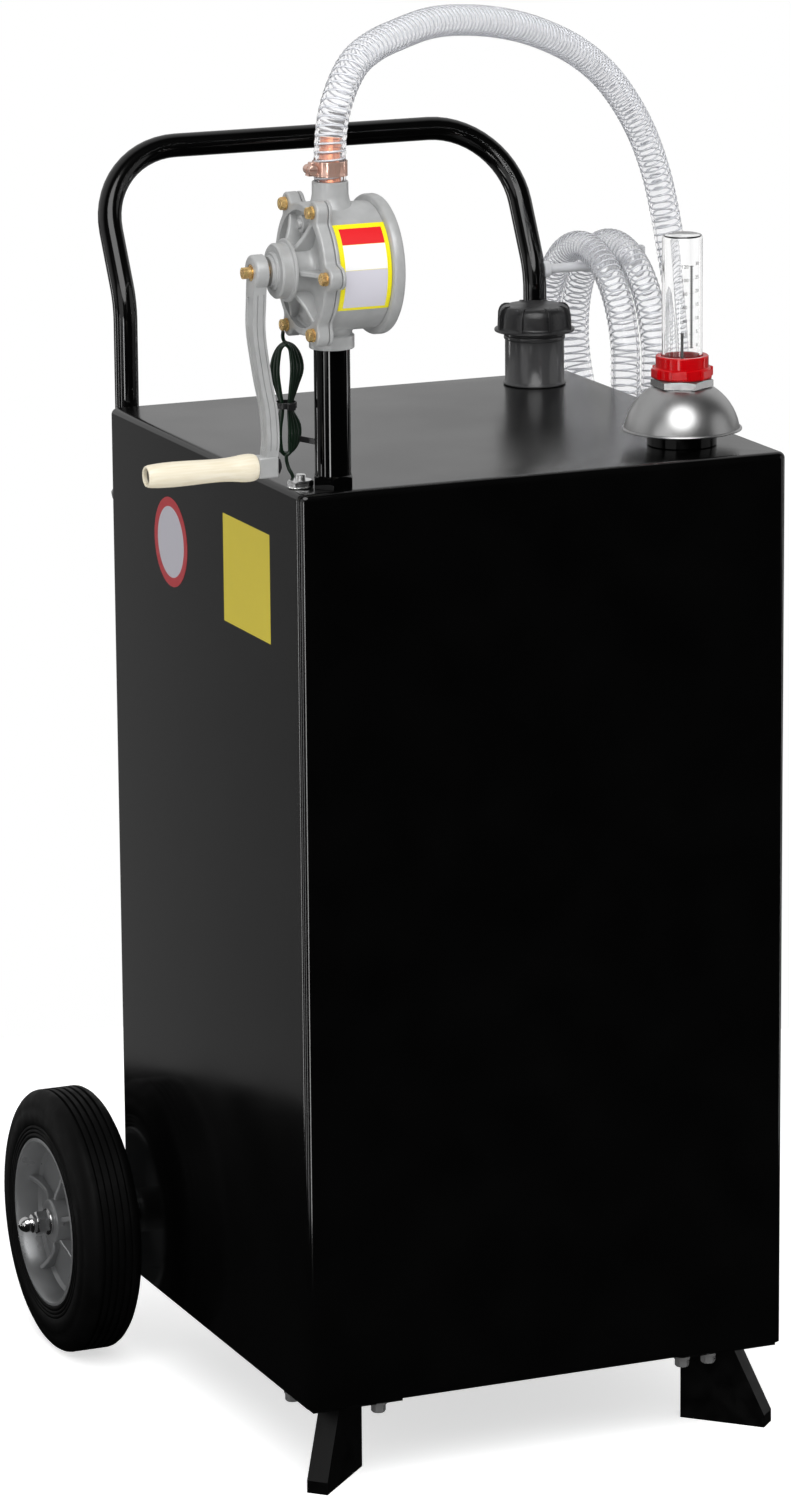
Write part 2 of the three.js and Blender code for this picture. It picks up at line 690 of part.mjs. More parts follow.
function coverBody() {
  const rimPart = cut(
    lobedDisc(coverBase, coverFace),
    solid(rod(cover.dish, coverBase + cover.web, coverFace + OVERRUN, FACETS.large)),
  );
  const webMiddle = coverBase + cover.web / 2;
  const bosses = revolve([
    [0, webMiddle], [cover.neckRadius, webMiddle], [cover.neckRadius, cover.neckEnd],
    [cover.ringRadius, cover.neckEnd], [cover.ringRadius, cover.ringEnd], [cover.bossRadius, cover.ringEnd],
    [cover.bossRadius, cover.bossEnd], [cover.glandRadius, cover.bossEnd],
    [cover.glandRadius, cover.glandEnd], [cover.noseRadius, cover.glandEnd],
    [cover.noseRadius, cover.noseEnd], [0, cover.noseEnd],
  ], FACETS.large);
  const ribOutline = [
    [cover.neckRadius - cover.web, webMiddle], [cover.dish + cover.web / 2, webMiddle],
    [cover.dish + cover.web / 2, coverFace - cover.ribFoot / 4],
    [cover.neckRadius + cover.ribFoot, cover.neckEnd],
    [cover.neckRadius - cover.web, cover.neckEnd],
  ];
  const ribs = Array.from({ length: flange.count }, (_, i) => {
    const rib = plateAcrossY(ribOutline, -cover.ribWidth / 2, cover.ribWidth / 2);
    return solid(rib.rotateZ((TURN * (i + 1 / 2)) / flange.count));
  });
  const web = coverBase + cover.web;
  const bleed = join(
    solid(rod(cover.bleed, webMiddle, web + cover.bleedHeight).translate(cover.bleedAt, 0, 0)),
    solid(rod(cover.plug, web, coverFace + cover.plug / 2, FACETS.least).translate(cover.bleedAt, 0, 0)),
  );
  const holes = aroundBolts((x, y) => solid(
    rod(flange.hole, coverBase - OVERRUN, coverFace + OVERRUN, FACETS.bolt).translate(x, y, 0),
  ));
  const bore = solid(rod(shaft.radius + GAP, coverBase - OVERRUN, cover.noseEnd + OVERRUN, FACETS.small));
  return turned(cut(join(rimPart, solid(bosses), ...ribs, bleed), bore, ...holes));
}

function backPlate() {
  const from = pump.rear + GAP;
  const to = from + back.depth;
  const roundOff = back.edge * (1 - Math.SQRT1_2);
  const profile = [
    [0, from + back.pocket], [shaft.radius + GAP, from + back.pocket], [shaft.radius + GAP, from],
    [back.radius - back.edge / 2, from], [back.radius, from + back.edge / 2],
    [back.radius, to - back.edge], [back.radius - roundOff, to - roundOff], [back.radius - back.edge, to],
    [back.recessRadius, to], [back.recessRadius - back.edge, to - back.recess],
    [back.boss, to - back.recess],
    [back.boss - back.edge / 2, to], [0, to],
  ];
  return solid(alongX(revolve(profile, FACETS.large)));
}

function shaftBody() {
  const low = -pump.rear - back.pocket;
  return solid(alongMinusX(revolve([
    [0, low], [shaft.radius, low], [shaft.radius, shaft.threadFrom], [shaft.thread, shaft.threadFrom],
    [shaft.thread, shaft.end], [0, shaft.end],
  ], FACETS.small)));
}

function rotorBody() {
  const [low, high] = [-pump.rear + GAP, pump.front - GAP];
  const slot = (sign) => solid(block(
    [Math.min(sign * (rotor.radius - rotor.slotDepth), sign * (rotor.radius + OVERRUN)),
      Math.max(sign * (rotor.radius - rotor.slotDepth), sign * (rotor.radius + OVERRUN))],
    [-rotor.slot / 2, rotor.slot / 2], [low - OVERRUN, high + OVERRUN],
  ));
  return turned(cut(
    solid(rod(rotor.radius, low, high, FACETS.large)),
    solid(rod(shaft.radius + GAP, low - OVERRUN, high + OVERRUN)),
    slot(1), slot(-1),
  ));
}

function vaneBody(sign) {
  const root = rotor.radius - rotor.slotDepth + GAP;
  return solid(block(
    [-pump.front + 2 * GAP, pump.rear - 2 * GAP], [GAP - rotor.slot / 2, rotor.slot / 2 - GAP],
    [Math.min(sign * root, sign * rotor.vaneTip), Math.max(sign * root, sign * rotor.vaneTip)],
  ));
}

function coverBoltMeshes() {
  const reach = coverFace - pump.front + flange.depth + OVERRUN;
  return aroundBolts((up, y) => [up, y]).map(([up, y], i) => {
    const mesh = bodyMesh(
      `cover_bolt_${i + 1}`,
      turned(bolt({ ...coverBolt, length: reach, facets: FACETS.bolt })),
      finish.yellowZinc,
    );
    mesh.position.set(-coverFace - GAP, y, up);
    return mesh;
  });
}

// Crank
const crank = {
  length: 144.5, hub: 13, hubFrom: 53.3, hubTo: 63.5, eye: 8.1, eyeFrom: 45.6, eyeTo: 61.5, thickness: 9.6,
  topWidth: 17, lowWidth: 12.4, grooveDepth: 1.3, grooveRim: 2.8, hubEdge: 2,
  bowShares: [[0, 0], [0.15, 0.11], [0.31, 0.15], [0.54, -0.3], [0.71, -0.75], [0.88, -0.87], [1, -0.6]],
  bow: 10,
};
const crankNut = { hex: 17, depth: 3.4 };
const grip = {
  length: 86, bore: 4.3, endRadius: 9.2, head: 5.7, headDepth: 8,
  belly: 10.4, shapeShares: [
    [0.03, 0.971], [0.09, 1], [0.2, 0.913], [0.33, 0.841], [0.52, 0.856], [0.75, 0.923], [0.91, 0.942],
    [0.975, 0.856],
  ],
  tip: 7.4,
};
const gripPin = { radius: 4, head: 5.3, headDepth: 3, tail: 6.5, tailDepth: 2.2 };

function crankBody() {
  const middle = (crank.hubFrom + crank.hubTo) / 2;
  const line = new THREE.SplineCurve(crank.bowShares.map(([down, side]) => new THREE.Vector2(
    -middle - side * crank.bow, -down * crank.length,
  ))).getPoints(12);
  const band = (left, right) => [
    ...line.map((point) => [point.x + left, point.y]),
    ...line.slice().reverse().map((point) => [point.x + right, point.y]),
  ];
  const taper = (inset, from, to) => {
    const half = (z) => THREE.MathUtils.lerp(crank.topWidth, crank.lowWidth, z / crank.length) / 2 - inset;
    return [[-half(from), -from], [-half(to), -to], [half(to), -to], [half(from), -from]];
  };
  const half = crank.thickness / 2;
  const reach = 2 * crank.hub;
  const across = (outline) => solid(plateAcrossX(outline, -2 * crank.hubTo, 0));
  const arm = solid(plateAcrossY(band(-half, half), -reach, reach))
    .intersect(across(taper(0, 0, crank.length)));
  const grooveEnds = [crank.hub + crank.grooveRim, crank.length - crank.eye - crank.grooveRim];
  const groove = solid(plateAcrossY(band(-2 * half, crank.grooveDepth - half), -reach, reach))
    .intersect(across(taper(crank.grooveRim, ...grooveEnds)));
  const hub = alongMinusX(revolve([
    [0, crank.hubFrom], [crank.hub, crank.hubFrom], [crank.hub, crank.hubTo - crank.hubEdge],
    [crank.hub - crank.hubEdge, crank.hubTo], [0, crank.hubTo],
  ], FACETS.medium));
  const eye = alongMinusX(rod(crank.eye, crank.eyeFrom, crank.eyeTo, FACETS.medium));
  eye.translate(0, 0, -crank.length);
  const pinDrill = alongMinusX(rod(gripPin.radius + GAP, 0, 2 * crank.eyeTo));
  pinDrill.translate(0, 0, -crank.length);
  return cut(
    join(arm.subtract(groove), solid(hub), solid(eye)),
    solid(alongMinusX(rod(shaft.radius + GAP, 0, 2 * crank.hubTo))),
    solid(pinDrill),
  );
}

function crankNutBody() {
  const low = crank.hubTo + GAP;
  return turned(cut(
    solid(plate(hexagon(crankNut.hex), low, low + crankNut.depth)),
    solid(rod(shaft.thread + GAP, low - OVERRUN, low + crankNut.depth + OVERRUN)),
  ));
}

function gripBody() {
  const from = crank.eyeTo + GAP;
  const at = (share) => from + share * grip.length;
  return solid(alongMinusX(revolveRing([
    [grip.bore, at(0)], [grip.endRadius, at(0)],
    ...grip.shapeShares.map(([share, full]) => [full * grip.belly, at(share)]),
    [grip.tip, at(1)], [grip.head, at(1)], [grip.head, at(1) - grip.headDepth],
    [grip.bore, at(1) - grip.headDepth],
  ], FACETS.medium)));
}

function gripPinBody() {
  const tailTop = crank.eyeFrom - GAP;
  const headAt = crank.eyeTo + GAP + grip.length - grip.headDepth + GAP;
  return solid(alongMinusX(revolve([
    [0, tailTop - gripPin.tailDepth], [gripPin.tail, tailTop - gripPin.tailDepth], [gripPin.tail, tailTop],
    [gripPin.radius, tailTop], [gripPin.radius, headAt], [gripPin.head, headAt],
    [gripPin.head, headAt + gripPin.headDepth], [0, headAt + gripPin.headDepth],
  ], FACETS.small)));
}

function pumpGroup() {
  const group = new THREE.Group();
  group.position.set(column.x, column.y, tank.height + pump.axisHeight);
  const handleGroup = new THREE.Group();
  handleGroup.position.z = -crank.length;
  handleGroup.add(
    bodyMesh('crank_grip', gripBody(), finish.beech),
    bodyMesh('grip_pin', gripPinBody(), finish.steel),
  );
  group.add(
    bodyMesh('pump_body', pumpBody(), finish.castAluminium),
    bodyMesh('pump_cover', coverBody(), finish.castAluminium),
    bodyMesh('pump_back_plate', backPlate(), finish.castAluminium),
    ...coverBoltMeshes(),
    bodyMesh('pump_shaft', shaftBody(), finish.steel),
    bodyMesh('pump_rotor', rotorBody(), finish.steel),
    bodyMesh('pump_vane_upper', vaneBody(1), finish.blackPlastic),
    bodyMesh('pump_vane_lower', vaneBody(-1), finish.blackPlastic),
    bodyMesh('crank_arm', crankBody(), finish.castAluminium),
    bodyMesh('crank_nut', crankNutBody(), finish.brass),
    handleGroup,
  );
  return group;
}

// Filler neck and its screw cap
const neck = { weldRadius: 25.2, weldHeight: 2, beadRadius: 24.7, beadLow: 37, beadHigh: 40.5 };
const cap = {
  low: 43.5, high: 64, ceiling: 60.5, flange: 32.3, flangeDepth: 2, side: 29.8, shoulder: 27.4, top: 23.4,
  shoulderDrop: 2.4, ribs: 8, ribWidth: 3.2, ribProud: 1.3, ribKnee: 6.2, seal: 19,
};

function neckBody() {
  return solid(revolveRing([
    [filler.bore, -fillerSpigot.depth], [fillerSpigot.radius, -fillerSpigot.depth],
    [fillerSpigot.radius, GAP], [neck.weldRadius, GAP], [neck.weldRadius, neck.weldHeight],
    [filler.radius, 2 * neck.weldHeight], [filler.radius, neck.beadLow],
    [neck.beadRadius, neck.beadLow + GAP], [neck.beadRadius, neck.beadHigh - GAP],
    [filler.radius, neck.beadHigh], [filler.radius, filler.height], [filler.bore, filler.height],
  ], FACETS.medium));
}

function capBody() {
  const bore = filler.radius + 2 * GAP;
  const cup = revolve([
    [0, cap.ceiling], [bore, cap.ceiling], [bore, cap.low], [cap.flange, cap.low],
    [cap.flange, cap.low + cap.flangeDepth], [cap.side, cap.low + 2 * cap.flangeDepth],
    [cap.side - cap.ribProud / 2, cap.high - 3 * cap.shoulderDrop],
    [cap.shoulder, cap.high - cap.shoulderDrop], [cap.top, cap.high], [0, cap.high],
  ], FACETS.large);
  const ribOutline = [
    [bore + cap.ribProud, cap.low + cap.flangeDepth], [cap.side + cap.ribProud, cap.low + cap.flangeDepth],
    [cap.side + cap.ribProud / 2, cap.high - cap.ribKnee],
    [cap.shoulder + cap.ribProud, cap.high - cap.shoulderDrop], [cap.top, cap.high + GAP],
    [cap.top - cap.ribWidth, cap.high - cap.ribProud], [bore + cap.ribProud, cap.ceiling + cap.ribProud / 2],
  ];
  const ribs = Array.from({ length: cap.ribs }, (_, i) => {
    const rib = plateAcrossY(ribOutline, -cap.ribWidth / 2, cap.ribWidth / 2);
    return solid(rib.rotateZ((TURN * i) / cap.ribs));
  });
  return join(solid(cup), ...ribs);
}

function fillerGroup() {
  const group = new THREE.Group();
  group.position.set(filler.x, filler.y, tank.height);
  const seal = sleeve(cap.seal, filler.radius, filler.height + GAP, cap.ceiling - GAP);
  group.add(
    bodyMesh('filler_neck', neckBody(), finish.greyPlastic),
    bodyMesh('filler_cap', capBody(), finish.greyPlastic),
    bodyMesh('cap_seal', solid(seal), finish.rubber),
  );
  return group;
}

// Float gauge
const gaugeNeck = {
  radius: 26.7, shoulder: 20, threadLow: 8, threadHigh: 11, threadProud: 0.9, seatRadius: 22, seatLow: 38,
  seat: 43.2, top: 56,
};
const dome = { rim: 46, rimLow: 12.7, bead: 1.6, sheet: 1.1, top: 44.6, hole: 17.9 };
const domeShares = [[0.957, 0.03], [0.92, 0.28], [0.78, 0.64], [0.53, 0.975]];
const gaugeNut = { height: 6 };
const collar = {
  radius: 20.3, lug: 23.6, lugRoot: 1, ring: 22, lugHeight: 8.5, height: 17.5, lugs: 6, lugWidth: 12,
};
const sight = { radius: 15.5, wall: 1.8, height: 162, foot: 17.2, footDepth: 2, crown: 3 };
const pointer = { radius: 1.1, top: 86, lift: 4.6 };
const lever = {
  drop: 290, side: 17, swing: 58, rod: 2.5, hub: 5, pin: 2, floatRadius: 20, floatLength: 48,
};
const leverReach = gauge.x + lever.side + tankHalf.width - tank.wall - lever.floatRadius - inset.float;
const strip = { width: 14, sheet: 2, offset: 6, disc: 2 };

function gaugeNeckBody() {
  const n = gaugeNeck;
  return solid(revolveRing([
    [gauge.bore, -gaugeSpigot.depth], [gauge.stud, -gaugeSpigot.depth], [gauge.stud, GAP], [n.radius, GAP],
    [n.radius, n.threadLow], [n.radius + n.threadProud, n.threadLow + GAP],
    [n.radius + n.threadProud, n.threadHigh - GAP], [n.radius, n.threadHigh], [n.radius, n.shoulder],
    [gauge.stud, n.shoulder], [gauge.stud, n.seatLow], [n.seatRadius, n.seat - GAP], [n.seatRadius, n.seat],
    [gauge.stud, n.seat], [gauge.stud, n.top], [gauge.bore, n.top],
  ], FACETS.medium));
}

function domeBody() {
  const height = dome.top - dome.rimLow;
  const outer = domeShares.map(([r, z]) => [r * dome.rim, dome.rimLow + z * height]);
  const inner = outer.map(([r, z]) => [r - dome.sheet, z - dome.sheet / 2]).reverse();
  return solid(revolveRing([
    [dome.rim, dome.rimLow], [dome.rim, dome.rimLow + dome.bead],
    ...outer, [dome.hole, dome.top + GAP], [dome.hole, dome.top - dome.sheet + GAP], ...inner,
    [domeShares[0][0] * dome.rim - dome.sheet, dome.rimLow],
  ], FACETS.large));
}

function collarBody() {
  const low = dome.top + 2 * GAP + gaugeNut.height + GAP;
  const step = gaugeNeck.top + GAP + sight.footDepth + GAP;
  const high = low + collar.height;
  const lugTop = low + collar.lugHeight;
  const ringPart = revolveRing([
    [gauge.stud + GAP, low], [collar.ring, low], [collar.ring, lugTop], [collar.radius, lugTop],
    [collar.radius, high], [sight.radius + 2 * GAP, high], [sight.radius + 2 * GAP, step],
    [gauge.stud + GAP, step],
  ], FACETS.medium);
  const lugs = Array.from({ length: collar.lugs }, (_, i) => solid(block(
    [collar.radius - collar.lugRoot, collar.lug], [-collar.lugWidth / 2, collar.lugWidth / 2], [low, lugTop],
  ).rotateZ((TURN * i) / collar.lugs)));
  return join(solid(ringPart), ...lugs);
}

function sightBody() {
  const low = gaugeNeck.top + GAP;
  const inside = sight.radius - sight.wall;
  const roundOff = sight.crown * (1 - Math.SQRT1_2);
  return solid(revolve([
    [0, sight.height - sight.wall], [inside - sight.crown / 2, sight.height - sight.wall],
    [inside, sight.height - sight.crown], [inside, low], [sight.foot, low],
    [sight.foot, low + sight.footDepth], [sight.radius, low + sight.footDepth],
    [sight.radius, sight.height - sight.crown], [sight.radius - roundOff, sight.height - roundOff],
    [sight.radius - sight.crown, sight.height], [0, sight.height],
  ], FACETS.medium));
}

function gaugeNutBody() {
  const low = dome.top + 2 * GAP;
  return cut(
    solid(plate(hexagon(gauge.hex, Math.PI / 6), low, low + gaugeNut.height)),
    solid(rod(gauge.stud + GAP, low - OVERRUN, low + 2 * gaugeNut.height, FACETS.medium)),
  );
}

const swing = THREE.MathUtils.degToRad(lever.swing);
const pointerFoot = pointer.lift - lever.drop - Math.tan(swing) * lever.side + lever.rod / Math.cos(swing);

function floatBracket() {
  const top = -gaugeSpigot.depth - GAP;
  const disc = sleeve(pointer.radius + GAP, gauge.stud, top - strip.disc, top, FACETS.medium);
  const face = [strip.offset, strip.offset + strip.sheet];
  const underDisc = top - strip.disc / 2;
  const far = lever.side + strip.width / 2;
  const strap = block([far - strip.width, far], face, [-lever.drop - lever.hub, underDisc]);
  const bridge = block([0, far], face, [top - strip.disc - strip.sheet, underDisc]);
  const pin = alongY(rod(lever.pin, -lever.hub, face[1] - GAP, FACETS.least));
  pin.translate(lever.side, 0, -lever.drop);
  return join(solid(disc), solid(strap), solid(bridge), solid(pin));
}

function floatLever() {
  const hub = alongY(sleeve(lever.pin + GAP, lever.hub, -lever.hub + OVERRUN, lever.hub, FACETS.small));
  const arm = rod(lever.rod, lever.hub - lever.pin + GAP, leverReach, FACETS.least).rotateY(-QUARTER);
  const ball = alongY(rod(lever.floatRadius, -lever.floatLength / 2, lever.floatLength / 2, FACETS.medium));
  return join(solid(hub), solid(arm), solid(ball.translate(-leverReach, 0, 0)));
}

function gaugeGroup() {
  const group = new THREE.Group();
  group.position.set(gauge.x, gauge.y, tank.height);
  const pointerRod = rod(pointer.radius, pointerFoot, pointer.top, FACETS.least);
  const leverMesh = bodyMesh('float_lever', floatLever(), finish.steel);
  leverMesh.position.set(lever.side, 0, -lever.drop);
  leverMesh.rotation.y = -swing;
  group.add(
    bodyMesh('gauge_neck', gaugeNeckBody(), finish.blackPaint),
    bodyMesh('gauge_dome', domeBody(), finish.brightSteel),
    bodyMesh('gauge_nut', gaugeNutBody(), finish.brightSteel),
    bodyMesh('gauge_collar', collarBody(), finish.redPlastic),
    bodyMesh('gauge_sight_tube', sightBody(), finish.clearPlastic),
    bodyMesh('gauge_pointer', solid(pointerRod), finish.steel),
    bodyMesh('float_bracket', floatBracket(), finish.steel),
    leverMesh,
  );
  return group;
}

// Delivery hose: barb and clamp on the pump's outlet, a free arch, a coil on the hook, a nozzle
const outletTop = tank.height + pump.axisHeight + spigot.outletHigh;
const barb = { radius: 7.8, ridge: 8.4, bore: 6, length: 20, ridges: 2 };
const clamp = { radius: 13.1, width: 11, rise: 4, screw: 3.6, housing: 7, headEnd: 9, tailEnd: 6 };

// The arch's free stretch, chosen by hand: how far on from the outlet to the coil's crown in X and in Y, and
// how high over the outlet, as a share of the arch's own rise
const archRise = 98.3;
const archShares = [
  [0, 0, 0.003], [0, 0, 0.173], [0.008, 0.007, 0.434], [0.032, 0.027, 0.663], [0.068, 0.059, 0.829],
  [0.12, 0.104, 0.921], [0.194, 0.168, 0.972], [0.28, 0.243, 1], [0.368, 0.319, 0.969],
  [0.485, 0.42, 0.875], [0.599, 0.52, 0.727], [0.724, 0.628, 0.488], [0.818, 0.71, 0.215],
  [0.89, 0.771, -0.104], [0.938, 0.812, -0.394], [0.972, 0.836, -0.712], [0.994, 0.849, -1.038],
];

function archRoute() {
  return archShares.map(([shareX, shareY, shareZ]) => new THREE.Vector3(
    THREE.MathUtils.lerp(column.x, coil.x, shareX),
    THREE.MathUtils.lerp(column.y, coil.y, shareY),
    outletTop + shareZ * archRise,
  ));
}

function coilPoint(turn) {
  return new THREE.Vector3(
    coil.x - coil.pitch * turn,
    coil.y - coil.radius * Math.cos(TURN * turn),
    coil.z - coil.radius * Math.sin(TURN * turn),
  );
}

function coilStations() {
  const steps = Math.round((coil.to - coil.from) * coil.steps);
  const stations = Array.from({ length: steps + 1 }, (_, i) => (
    coilPoint(coil.from + ((coil.to - coil.from) * i) / steps)
  ));
  const run = (turn, length) => new THREE.Vector3(0, Math.sin(TURN * turn), -Math.cos(TURN * turn))
    .multiplyScalar(length).add(coilPoint(turn));
  return [run(coil.from, -2 * hose.radius), ...stations, run(coil.to, 2 * hose.radius)];
}

// The arch ends in line with the coil's straight lead.
function archStations() {
  const [lead, start] = coilStations();
  const along = lead.clone().sub(start).normalize();
  const end = (length) => lead.clone().addScaledVector(along, length);
  const straight = 2 * hose.radius;
  const leads = [straight + straight / 2, straight, straight / 2, GAP].map(end);
  const route = [...archRoute(), ...leads];
  const curve = new THREE.CatmullRomCurve3(route, false, 'centripetal');
  console.log(`hose arch length ${curve.getLength().toFixed(1)} mm`);
  return curve.getSpacedPoints(2 * hose.ribs);
}

function hoseArch() {
  const stations = archStations();
  const last = stations.length - 1;
  const radii = stations.map((_, i) => (i % 2 === 0 ? hose.valley : hose.radius));
  const outer = ringsAlong(stations, radii, FACETS.least);
  const inner = ringsAlong(stations, stations.map(() => hose.bore), FACETS.least);
  const boreRings = inner.filter((_, i) => i % hose.boreEvery === 0 || i === last).reverse();
  return solid(skin([...outer, ...boreRings], true));
}

function hoseCoil() {
  const stations = coilStations();
  const gap = leastGap(stations, hose.radius, Math.round(coil.steps / 2));
  const length = new THREE.CatmullRomCurve3(stations).getLength();
  console.log(`hose coil length ${length.toFixed(1)} mm, least gap ${gap.toFixed(2)} mm`);
  return solid(sweep(stations, hose.radius, coil.sides));
}

function barbBody() {
  const low = outletTop - spigot.barbDepth;
  const seat = outletTop - GAP;
  const profile = [[barb.bore, low], [spigot.barb, low], [spigot.barb, seat], [barb.radius, seat]];
  const pitch = barb.length / (barb.ridges + 1);
  for (let i = 1; i <= barb.ridges; i += 1) {
    const z = outletTop + i * pitch;
    profile.push([barb.ridge, z], [barb.radius, z + pitch / 3]);
  }
  profile.push([barb.radius, outletTop + barb.length], [barb.bore, outletTop + barb.length]);
  return solid(revolveRing(profile, FACETS.small).translate(column.x, column.y, 0));
}

function clampBody() {
  const low = outletTop + clamp.rise;
  const high = low + clamp.width;
  const band = sleeve(hose.radius + GAP, clamp.radius, low, high);
  const centre = -clamp.radius - clamp.screw + GAP;
  const housing = block(
    [centre - clamp.screw, 0], [-clamp.housing / 2, clamp.housing / 2], [low + GAP, high - GAP],
  );
  const screw = alongY(rod(clamp.screw, -clamp.headEnd, clamp.tailEnd, FACETS.least));
  const body = cut(
    join(solid(band), solid(housing), solid(screw.translate(centre, 0, (low + high) / 2))),
    solid(rod(hose.radius + GAP, low - OVERRUN, high + OVERRUN, FACETS.medium)),
  );
  return body;
}

const nozzle = {
  ferrule: 13.2, ferruleLength: 34, grip: 12.6, neck: 10.5, tail: 9, gripLength: 70, coneLength: 26,
  spout: 7.6, spoutLength: 60, bend: 28, bendRadius: 60, groove: 1.2, marks: 2, bendSteps: 3,
};

function nozzleBody() {
  const n = nozzle;
  const gripEnd = -n.ferruleLength - n.gripLength;
  const profile = [
    [0, 0], [n.ferrule - n.groove, 0], [n.ferrule, -n.groove], [n.ferrule, -n.ferruleLength],
    [n.grip, -n.ferruleLength - n.groove],
  ];
  for (let i = 1; i <= n.marks; i += 1) {
    const z = -n.ferruleLength - (n.gripLength * i) / (n.marks + 1);
    profile.push([n.grip, z + n.groove], [n.grip - n.groove, z], [n.grip, z - n.groove]);
  }
  profile.push(
    [n.grip, gripEnd], [n.neck, gripEnd - n.groove], [n.neck, gripEnd - n.coneLength / 2],
    [n.spout, gripEnd - n.coneLength], [0, gripEnd - n.coneLength],
  );
  const start = gripEnd - n.coneLength + OVERRUN;
  const stations = [new THREE.Vector3(0, 0, start)];
  const bend = THREE.MathUtils.degToRad(n.bend);
  for (let i = 0; i <= n.bendSteps; i += 1) {
    const angle = (bend * i) / n.bendSteps;
    stations.push(new THREE.Vector3(
      0, n.bendRadius * (1 - Math.cos(angle)), start - OVERRUN - n.tail - n.bendRadius * Math.sin(angle),
    ));
  }
  const last = stations[stations.length - 1];
  const along = new THREE.Vector3(0, Math.sin(bend), -Math.cos(bend));
  stations.push(last.clone().addScaledVector(along, n.spoutLength));
  return join(solid(revolve(profile, FACETS.small)), solid(sweep(stations, n.spout, FACETS.small)));
}

function hoseGroup() {
  const group = new THREE.Group();
  const clampMesh = bodyMesh('hose_clamp', clampBody(), finish.brightSteel);
  clampMesh.position.set(column.x, column.y, 0);
  const nozzleMesh = bodyMesh('hose_nozzle', nozzleBody(), finish.steel);
  const end = coilStations().pop();
  nozzleMesh.position.set(end.x, end.y, end.z - GAP);
  group.add(
    bodyMesh('hose_barb', barbBody(), finish.brass),
    clampMesh,
    bodyMesh('hose_hook', hookBody(), finish.blackPaint),
    bodyMesh('hose_arch', hoseArch(), finish.clearVinyl),
    bodyMesh('hose_coil', hoseCoil(), finish.clearVinyl),
    nozzleMesh,
  );
  return group;
}

// Bonding wire: from a cover bolt through a tied hank to a nut on the tank top
const groundNut = {
  x: inset.groundNutX - tankHalf.width, y: inset.groundNutY - tankHalf.depth, hex: 17, height: 6,
  washer: 9.6, washerDepth: 1.5, stud: 4, studTop: 10, lugReach: 16.5, lugWidth: 6,
};
const hank = {
  beside: 26.5, behind: 25.7, top: 105.5, waist: 60, bottom: 22.5, upperHalf: 13.6, lowerHalf: 11.9,
  waistHalf: 2.3, nest: 2.7, stepX: 1.4, stepY: 3.25,
};
// How the loops bulge between waist and crown, and how soon they are at full width
const hankShares = { skew: 1.3, fullness: 0.8, turn: 3 };
const from = (origin, points) => vectors(points).map((point) => point.add(origin));
const boltUnder = new THREE.Vector3(column.x, column.y, tank.height + pump.axisHeight);
const lugOn = new THREE.Vector3(groundNut.x, groundNut.y, tank.height);
const wireStart = from(boltUnder, [[-27.3, 27.8, -50.5], [-26.6, 30.2, -54.5], [-25.3, 31.4, -57.8]]);
const wireEnd = from(lugOn, [[-4.6, 11.9, 13], [-1.2, 13.3, 7.4], [0, 13.5, 1.8]]);

function groundNutBody() {
  const { hex, height, washer, washerDepth, stud, studTop, lugReach, lugWidth } = groundNut;
  return join(
    solid(rod(washer, GAP, washerDepth, FACETS.medium)),
    solid(block([-lugWidth / 2, lugWidth / 2], [0, lugReach], [GAP, washerDepth])),
    solid(plate(hexagon(hex), washerDepth - GAP, height)),
    solid(rod(stud, height - OVERRUN, studTop)),
  );
}

// Half width of a loop of the hank, drawn in at the waist and nested in the loop before it
function hankHalf(z, turn) {
  const upper = z > hank.waist;
  const span = upper ? hank.top - hank.waist : hank.waist - hank.bottom;
  const share = Math.min(Math.abs(z - hank.waist) / span, 1);
  const full = (upper ? hank.upperHalf : hank.lowerHalf) - hank.nest * turn;
  const bulge = Math.sin(Math.PI * share ** hankShares.skew) ** hankShares.fullness;
  return hank.waistHalf + (full - hank.waistHalf) * bulge;
}

function wireStations() {
  const middle = (hank.top + hank.bottom) / 2;
  const half = (hank.top - hank.bottom) / 2;
  const steps = Math.round((wire.loops + 1 / 2) * wire.steps);
  const loops = Array.from({ length: steps + 1 }, (_, i) => {
    const turn = i / wire.steps;
    const step = turn - wire.loops / 2;
    const z = middle + half * Math.cos(TURN * turn);
    const side = Math.sin(TURN * turn);
    const full = Math.min(1, Math.abs(side) * hankShares.turn);
    return new THREE.Vector3(
      column.x - hank.beside + hankHalf(z, turn) * Math.sign(side) * full - hank.stepX * step,
      column.y + hank.behind - hank.stepY * step,
      tank.height + z,
    );
  });
  return [...wireStart, ...loops, ...wireEnd];
}

function groundWireBody() {
  const stations = wireStations();
  const gap = leastGap(stations, wire.radius, 5);
  const length = new THREE.CatmullRomCurve3(stations).getLength();
  console.log(`ground wire length ${length.toFixed(1)} mm, least gap ${gap.toFixed(2)} mm`);
  return solid(sweep(stations, wire.radius, wire.sides));
}

function groundGroup() {
  const group = new THREE.Group();
  const nut = bodyMesh('ground_nut', groundNutBody(), finish.brightSteel);
  nut.position.set(groundNut.x, groundNut.y, tank.height);
  group.add(nut, bodyMesh('ground_wire', groundWireBody(), finish.greenVinyl));
  return group;
}

